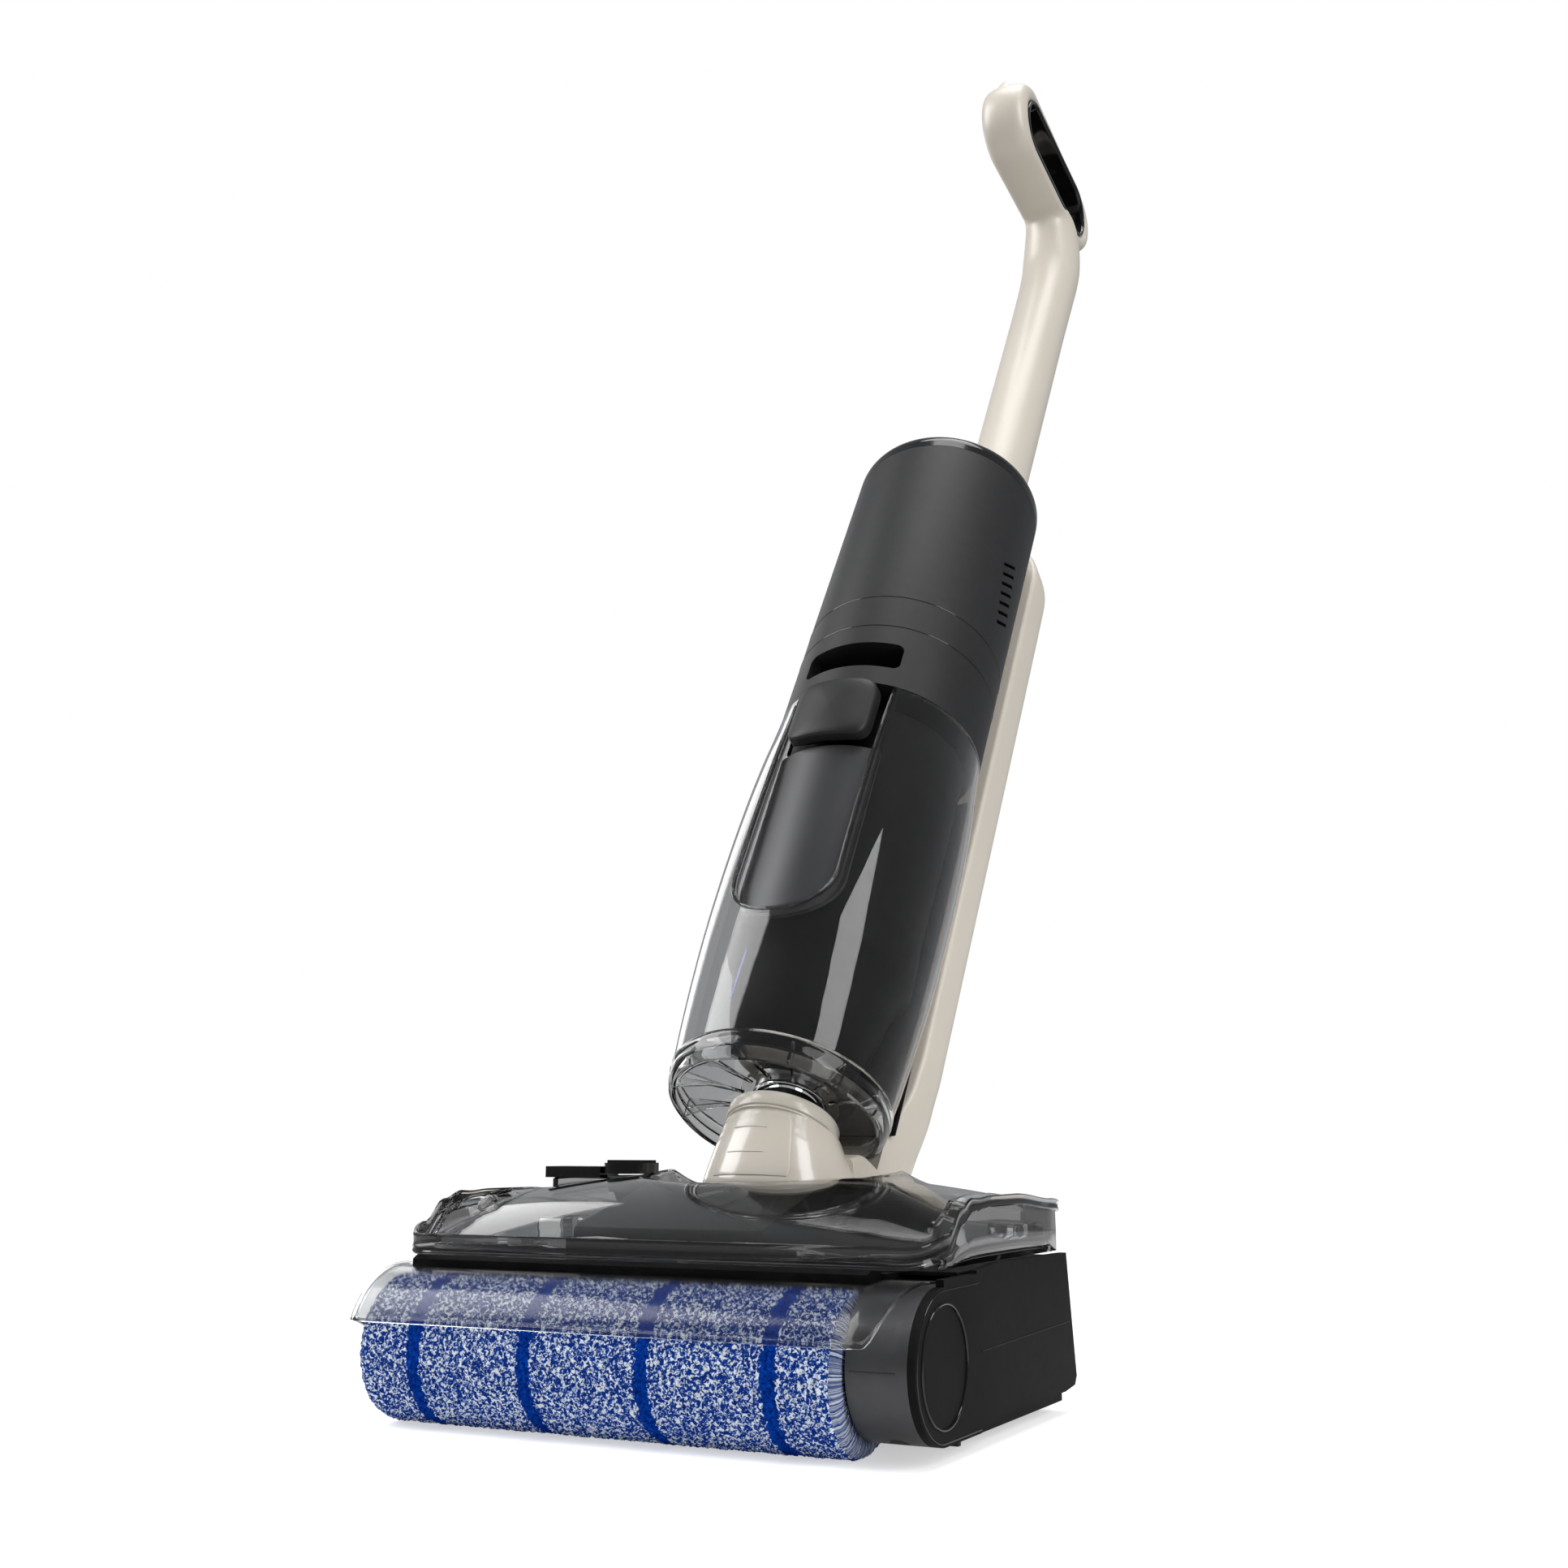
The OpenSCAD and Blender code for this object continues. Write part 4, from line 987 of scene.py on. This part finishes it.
def neck_radius(h):
    return float(np.interp(h, [27.2, 28, 29.5, 31.5, 36, 44, 52, 61],
                           [38.4, 39.8, 40.5, 40.6, 39.4, 36.4, 33.2, 29.8]))


class WASHER_OT_neck(bpy.types.Operator):
    """The neck: flared shell, collar and access panel."""
    bl_idname = "washer.neck"
    bl_label = "Neck"

    def execute(self, context):
        collar = context.scene.washer_sizes.neck_collar / MM
        rings = [neck_ring(27.4, 20), neck_ring(27.2, 37.6)]
        rings += [neck_ring(h, neck_radius(h)) for h in np.linspace(27.4, 56, 30)]
        for s, r in ((-19.5, collar - 0.9), (-18.4, collar - 1.0), (-18.2, collar - 0.3), (-17.7, collar),
                     (-11.2, collar), (-10.5, collar - 0.5), (-10.3, collar - 1.4), (-10.3, 17.4),
                     (-11.0, 16.6), (-16, 16.4)):
            rings.append([(r * cos(a), 10 + r * sin(a), s) for a in turns(96)])
        shell = loft("neck_flare", to_body(rings), smooth_angle=50)
        finish_piece(shell, "body", "beige_shell", "beige_gloss", ["neck_shell", "neck_panel"])
        rows = []
        low, high, front = 33, 55, 270
        for h in np.linspace(low, high, 16):
            full = neck_ring(h, neck_radius(h) + 0.45, 360)
            half = 33.0 - 2.0 * max(0.0, 1 - (h - low) / 3) - 2.0 * max(0.0, 1 - (high - h) / 3)
            rows.append([full[int(round(front + half * k)) % 360] for k in np.linspace(-1, 1, 25)])
        panel = sheet("neck_access_panel", rows, to_body, smooth_angle=60)
        modify(panel, "SOLIDIFY", thickness=0.0009, offset=-1)
        soften(panel, 0.0003)
        apply_all(panel)
        finish_piece(panel, "body", "beige_shell", "beige_gloss")
        for i, h in enumerate((41.0, 49.0)):
            line = to_body(neck_ring(h, neck_radius(h) + 0.5, 360)[250:284:2])
            bead("neck_panel_line_%d" % (i + 1), line, 0.28, "body", "beige_shell", "beige_gloss")
        return {"FINISHED"}


class WASHER_OT_spine(bpy.types.Operator):
    """The beige spine: a deep rounded shell with a fine lip round its front edge."""
    bl_idname = "washer.spine"
    bl_label = "Spine"

    def execute(self, context):
        front = [(24, -24), (33, -15), (40, -5), (46.5, 8), (51.5, 24), (54.0, 42), (54.5, 62), (54.5, 120),
                 (54.5, 452), (54.5, 480), (54.5, 498), (54.5, 507)]
        rear = [(38, -44), (59, -41), (76, -31), (86, -13), (90.5, 10), (91.6, 36), (91.8, 62), (91.8, 120),
                (91.5, 452), (87.5, 478), (80, 497), (68, 508)]
        knots = np.linspace(0, 1, len(front))
        dense = np.unique(np.r_[np.linspace(0, knots[6], 40), np.linspace(knots[6], knots[8], 14),
                                np.linspace(knots[8], 1, 34)])
        rings, lip = [], []
        for f, b in zip(catmull(knots, np.array(front), dense), catmull(knots, np.array(rear), dense)):
            depth = np.hypot(*(b - f))
            way = (b - f) / depth
            w = self.half_width((f[1] + b[1]) / 2)
            rr = min(17.0, depth * 0.55, w * 0.6)
            rf = min(3.2, depth * 0.2)
            section = arc(w - rf, rf, rf, -90, 0, 6) + arc(w - rr, depth - rr, rr, 0, 90, 12)
            section += [(-x, v) for x, v in section[::-1]]
            rings.append([(x, f[0] + way[0] * v, f[1] + way[1] * v) for x, v in section])
            lip.append((w - 0.6, f[0] + way[0] * 3.6, f[1] + way[1] * 3.6))
        shell = loft("spine_shell", to_body(rings), smooth_angle=45)
        # Room for the waste tank: a round bore over the tank's foot, kept to the front
        cut = lathe("cut", [(61.2, -18), (61.2, 56)], to_body)
        corners = [(-80, -90), (80, -90), (80, 53), (-80, 53)]
        keep = loft("keep", to_body([[(x, y, s) for x, y in corners] for s in (-19, 57)]))
        modify(cut, "BOOLEAN", operation="INTERSECT", object=keep, solver="EXACT")
        apply_all(cut)
        bpy.data.objects.remove(keep)
        cut_away(shell, cut)
        finish_piece(shell, "body", "beige_shell", replaces=["spine_tray", "spine_back"])
        line = [p for p in lip if p[2] > 4]
        line += [(-x, y, z) for x, y, z in line[::-1]]
        bead("spine_lip", to_body(line), 0.55, "body", "beige_shell", "beige_gloss", sides=8)
        return {"FINISHED"}

    def half_width(self, s):
        """Half the spine's width, s up the body: narrower at the foot and rounded off at the top."""
        full, top = 50.0, 458.0
        if s < 62:
            return curve_value([(-40, 36), (-20, 42), (10, 46), (40, 49), (62, full)], s)
        return sqrt(max(1.0, full ** 2 - (s - top) ** 2)) if s > top else full


def tank_radius(h):
    """Outer radius of the waste tank's glass, h up from its ring."""
    knots = np.array([0, 20, 45, 75, 105, 140, 175, 205, 230, 245], float)
    radii = [59.6, 61.6, 63.6, 65.4, 66.4, 66.8, 66.4, 65.2, 63.4, 62.5]
    return float(catmull(knots, np.stack([knots, radii], -1), [h])[0][1])


def flat_backed(limit, shift=0.0):
    """A place in the body frame that moves a turned shape back by shift and cuts its back flat at limit."""
    return lambda p: to_body(np.stack([p[:, 0], np.minimum(p[:, 1] + shift, limit), p[:, 2]], -1))


def on_round(x, r, h):
    """The place at x on the front of a cylinder of radius r, h up the body."""
    return (x, -sqrt(r * r - x * x), h)


def window_edge(half, top, first, count):
    """Edge of the glass's window as (x, height): down its left side, round its foot and up its right side."""
    return ([(-half, top)] + [(-half, h) for h in range(first, WINDOW_FOOT, -8)]
            + arc(0, WINDOW_FOOT, half, 180, 360, count)
            + [(half, h) for h in range(WINDOW_FOOT + 8, first + 8, 8)] + [(half, top)])


class WASHER_OT_waste_tank(bpy.types.Operator):
    """The waste tank: glass with its window, dark filter insert, latch, foot ring, funnel and ribs."""
    bl_idname = "washer.waste_tank"
    bl_label = "Waste tank"

    def execute(self, context):
        profile = [(22, 20), (28, 21), (33, 24), (37, 29), (40, 37), (42.5, 48), (45, 62), (48, 72),
                   (51.5, 76), (52.6, 79), (52.6, 98), (52.2, 102), (51.6, 104), (52.2, 160), (53, 236),
                   (48, 240), (40, 241)]
        insert = lathe("filter_insert", profile, flat_backed(47.0, 3.0))
        finish_piece(insert, "waste_tank", "black_plastic", replaces=["filter_cup"])
        # A flat black sheet behind the filter insert, so the back of the tank reads dark through the glass
        back = prism("tank_back_dark_sheet", [(-47, 3), (47, 3), (49, 238), (-49, 238)], 43.5, 46.5, to_body)
        soften(back, 0.001)
        finish_piece(back, "waste_tank", "black_plastic")
        self.blow_glass(context.scene.washer_sizes.tank_wall / MM)
        pad = []
        for scale, r in ((1.0, 61.0), (1.0, 66.2), (0.985, 67.2), (0.95, 67.8), (0.8, 68.3), (0.5, 68.5),
                         (0.05, 68.6)):
            corners = [squared(2 * pi * k / 72, 0.36) for k in range(72)]
            pad.append([on_round(25.5 * u * scale, r, 221.5 + 22.5 * v * scale) for u, v in corners])
        latch = loft("latch_pad", to_body(pad), smooth_angle=50)
        finish_piece(latch, "waste_tank_latch", "charcoal_shell", replaces=["tank_latch"])
        for i, up in enumerate((294.2, 320.2)):
            line = [(62.45 * cos(radians(a)), 62.45 * sin(radians(a)), up) for a in range(-232, 53, 3)]
            body = "body" if i else "waste_tank"
            bead("housing_seam_%d" % (i + 1), to_body(line), 0.28, body, "black_plastic", "black_gloss")
        bars = []
        half_bar = radians(4.2)
        for row in range(3):
            for k in range(9):
                a = radians(-90 + (k - 4 + 0.5 * (row % 2)) * 12.0)
                s = 80.5 + row * 4.6
                bars.append(loft("bar", to_body(
                    [[(r * cos(a + d), 3 + r * sin(a + d), s + e)
                      for r, e in ((50.6, -0.8), (51.7, -0.8), (51.7, 0.8), (50.6, 0.8))]
                     for d in (-half_bar, 0, half_bar)])))
        finish_piece(joined("filter_grille", bars), "waste_tank", "black_plastic")
        line = to_body([(-17, -46.8 + 0.004 * s, s) for s in range(28, 62, 4)])
        bead("level_line", line, 0.5, "waste_tank", "clear_plastic", "level_blue")
        self.make_foot()
        return {"FINISHED"}

    def blow_glass(self, wall):
        """The glass with the window cut out of it, the window's inner wall and the bead along its edge."""
        heights = list(np.linspace(0, 245, 50))
        outline = [(tank_radius(h), h) for h in heights] + [(tank_radius(h) - wall, h) for h in heights[::-1]]
        glass = lathe("tank_glass", outline, flat_backed(50.6), 160, close=True)
        window = [(-WINDOW_HALF, 260)] + arc(0, WINDOW_FOOT, WINDOW_HALF, 180, 360, 33) + [(WINDOW_HALF, 260)]
        cut_away(glass, prism("cut", window, -90, -20, to_body))
        finish_piece(glass, "waste_tank", "smoke_clear", replaces=["dirty_tank"])
        edge = window_edge(WINDOW_HALF - 0.2, 244, 232, 41)
        depth = 58.0
        rows = [[on_round(x, radius(h), h) for x, h in edge] for radius in (
            lambda h: tank_radius(h) - 0.3, lambda h: (tank_radius(h) + depth) / 2, lambda h: depth)]
        wall = sheet("recess_wall", rows, to_body, 0.0012, smooth_angle=50)
        finish_piece(wall, "waste_tank", "smoke_clear", "smoke_rim")
        line = [on_round(x, tank_radius(h) + 0.1, h) for x, h in window_edge(WINDOW_HALF, 238, 230, 33)]
        bead("recess_edge", to_body(line), 0.95, "waste_tank", "smoke_clear", "clear_plastic", sides=10)

    def make_foot(self):
        """The clear ring under the glass, the funnel above it and the ribs between them."""
        profile = [(59.6, -0.2), (60.1, -1.2), (60.1, -3.4), (59.5, -4.4), (59.2, -9), (58.2, -12.4),
                   (55.6, -14.8), (53.6, -15), (54.4, -12.8), (55.6, -9), (56, -4), (56, -0.2)]
        foot = lathe("tank_foot", profile, flat_backed(51.0), 128, close=True)
        finish_piece(foot, "waste_tank", "smoke_clear", replaces=["tank_base_ring"])

        def towards_tube(p):
            near = 1 - np.clip((np.hypot(p[:, 0], p[:, 1]) - 20) / 36, 0, 1)
            return flat_backed(50.5, 10 * near)(p)

        profile = [(55.8, -8.0), (40, -3.4), (27, -0.6), (20.4, 0.4), (20.4, 1.6), (27, 0.8), (40.6, -2.0),
                   (55.8, -6.4)]
        cone = lathe("tank_funnel", profile, towards_tube, close=True)
        finish_piece(cone, "waste_tank", "smoke_clear", "clear_plastic")
        ribs = []
        for k in range(7):
            a = radians(180 + k * 30)
            out = np.array([(r * cos(a), 10 * (56 - r) / 36 + r * sin(a), z) for r, z in (
                (55.5, -13), (55.5, -1), (24, -1), (24, 0.2), (40, -4.2))])
            side = np.array([-sin(a), cos(a), 0]) * 0.7
            ribs.append(loft("rib", to_body([out - side, out + side])))
        finish_piece(joined("tank_foot_ribs", ribs), "waste_tank", "smoke_clear")


def stadium(c0, r0, c1, r1, n=60):
    """Outline round two circles of different radius, as points on the wider-angle arcs."""
    (x0, y0), (x1, y1) = c0, c1
    dx, dy = x1 - x0, y1 - y0
    base = degrees(atan2(dy, dx))
    lean = degrees(acos((r0 - r1) / sqrt(dx * dx + dy * dy)))
    round_end = arc(x1, y1, r1, base - lean, base + lean, n)
    return np.array(round_end + arc(x0, y0, r0, base + lean, base + 360 - lean, n))


def resample(points, n):
    p = np.vstack([points, points[:1]])
    steps = np.r_[0, np.cumsum(np.hypot(*np.diff(p, axis=0).T))]
    at = np.linspace(0, steps[-1], n, endpoint=False)
    return np.stack([np.interp(at, steps, p[:, 0]), np.interp(at, steps, p[:, 1])], -1)


def ring_between(outer, inner, half, name, power=2.4, sides=28):
    """A closed loop whose section fills the space between two outlines, rounded all round."""
    rings = []
    for o, i in zip(outer, inner):
        ring = []
        for k in range(sides):
            u, v = squared(2 * pi * k / sides, 2 / power)
            p = (o + i) / 2 + (o - i) / 2 * u
            ring.append((half * v, p[0], p[1] + GRIP_UP))
        rings.append(ring)
    return loft(name, to_body(rings), close_rows=True)


def matching(outer, inner):
    """For each outer point, the inner outline's nearest point, kept in order."""
    fine = resample(inner, 1440)
    picks = np.array([fine[np.argmin(np.hypot(*(fine - p).T))] for p in outer])
    return (np.roll(picks, 1, 0) + np.roll(picks, -1, 0) + 2 * picks) / 4


class WASHER_OT_handle(bpy.types.Operator):
    """The handle: tube flowing into a rounded loop, with a gloss liner and a small button."""
    bl_idname = "washer.handle"
    bl_label = "Handle"

    def execute(self, context):
        outer = resample(stadium((-66, -6), 34, (48, 34), 29), 140)
        inner = matching(outer, stadium((-56, 1), 20.5, (38, 34), 21.5))
        loop = ring_between(outer, inner, 19.5, "loop")
        # Stations of the stem: place off the body's axis and up from the grip, then half widths
        spine = [(57, -500, 22.2, 22.2), (57, -120, 23, 23), (57, -70, 23.6, 23.6), (56, -46, 24, 25),
                 (53, -30, 24, 28), (48, -14, 23, 31), (42, 0, 21.5, 33), (36, 12, 19, 30)]
        knots = np.linspace(0, 1, len(spine))
        dense = np.r_[np.linspace(0, knots[2], 40)[:-1], np.linspace(knots[2], 1, 24)]
        middles = catmull(knots, np.array([p[:2] for p in spine], float), dense)
        widths = catmull(knots, np.array([p[2:] for p in spine], float), dense)
        rings = [[(wx * cos(a), y + wy * sin(a), s + GRIP_UP) for a in turns(48)]
                 for (y, s), (wx, wy) in zip(middles, widths)]
        shell = joined("handle_shell", [loft("stem", to_body(rings)), loop])
        modify(shell, "REMESH", mode="VOXEL", voxel_size=0.0015)
        modify(shell, "SMOOTH", factor=0.5, iterations=60)
        apply_all(shell)
        shell.data.shade_smooth()
        finish_piece(shell, "body", "beige_shell", replaces=["handle_tube", "grip_loop"])
        lining_out = resample(stadium((-56, 1), 24.0, (38, 34), 25.0), 140)
        lining_in = matching(lining_out, stadium((-56, 1), 19, (38, 34), 20))
        liner = ring_between(lining_out, lining_in, 17.6, "grip_lining", power=4.0)
        finish_piece(liner, "body", "black_gloss", replaces=["grip_liner"])
        button_up, button_off = 4.0, -97.9
        rows = [[(4.6 * scale * cos(a), button_off + lift, GRIP_UP + button_up + 8.6 * scale * sin(a))
                 for a in turns(40)]
                for scale, lift in ((1.0, 2.6), (1.0, 0.3), (0.93, 0.0), (0.6, -0.35), (0.05, -0.5))]
        button = loft("oval_button", to_body(rows), smooth_angle=50)
        finish_piece(button, "start_button", "beige_shell", replaces=["power_button"])
        return {"FINISHED"}


PIECES = ["stage", "finishes", "roller", "front_cover", "water_tank", "head_shell", "neck", "spine",
          "waste_tank", "handle"]
CLASSES = [WasherSizes, WasherColours, WASHER_OT_stage, WASHER_OT_finishes, WASHER_OT_roller,
           WASHER_OT_front_cover, WASHER_OT_water_tank, WASHER_OT_head_shell, WASHER_OT_neck, WASHER_OT_spine,
           WASHER_OT_waste_tank, WASHER_OT_handle]


class WASHER_PT_panel(bpy.types.Panel):
    """Lists the sizes, the colours and the pieces."""
    bl_idname = "WASHER_PT_panel"
    bl_label = "Floor washer"
    bl_space_type = "VIEW_3D"
    bl_region_type = "UI"
    bl_category = "Washer"

    def draw(self, context):
        layout = self.layout
        for group in (context.scene.washer_sizes, context.scene.washer_colours):
            column = layout.column(align=True)
            for key in group.__annotations__:
                column.prop(group, key)
        column = layout.column(align=True)
        for piece in PIECES:
            column.operator("washer." + piece)


def register():
    for cls in CLASSES + [WASHER_PT_panel]:
        bpy.utils.register_class(cls)
    bpy.types.Scene.washer_sizes = bpy.props.PointerProperty(type=WasherSizes)
    bpy.types.Scene.washer_colours = bpy.props.PointerProperty(type=WasherColours)


def unregister():
    del bpy.types.Scene.washer_sizes
    del bpy.types.Scene.washer_colours
    for cls in reversed(CLASSES + [WASHER_PT_panel]):
        bpy.utils.unregister_class(cls)


def main():
    register()
    for piece in PIECES:
        getattr(bpy.ops.washer, piece)()


if __name__ == "__main__":
    main()
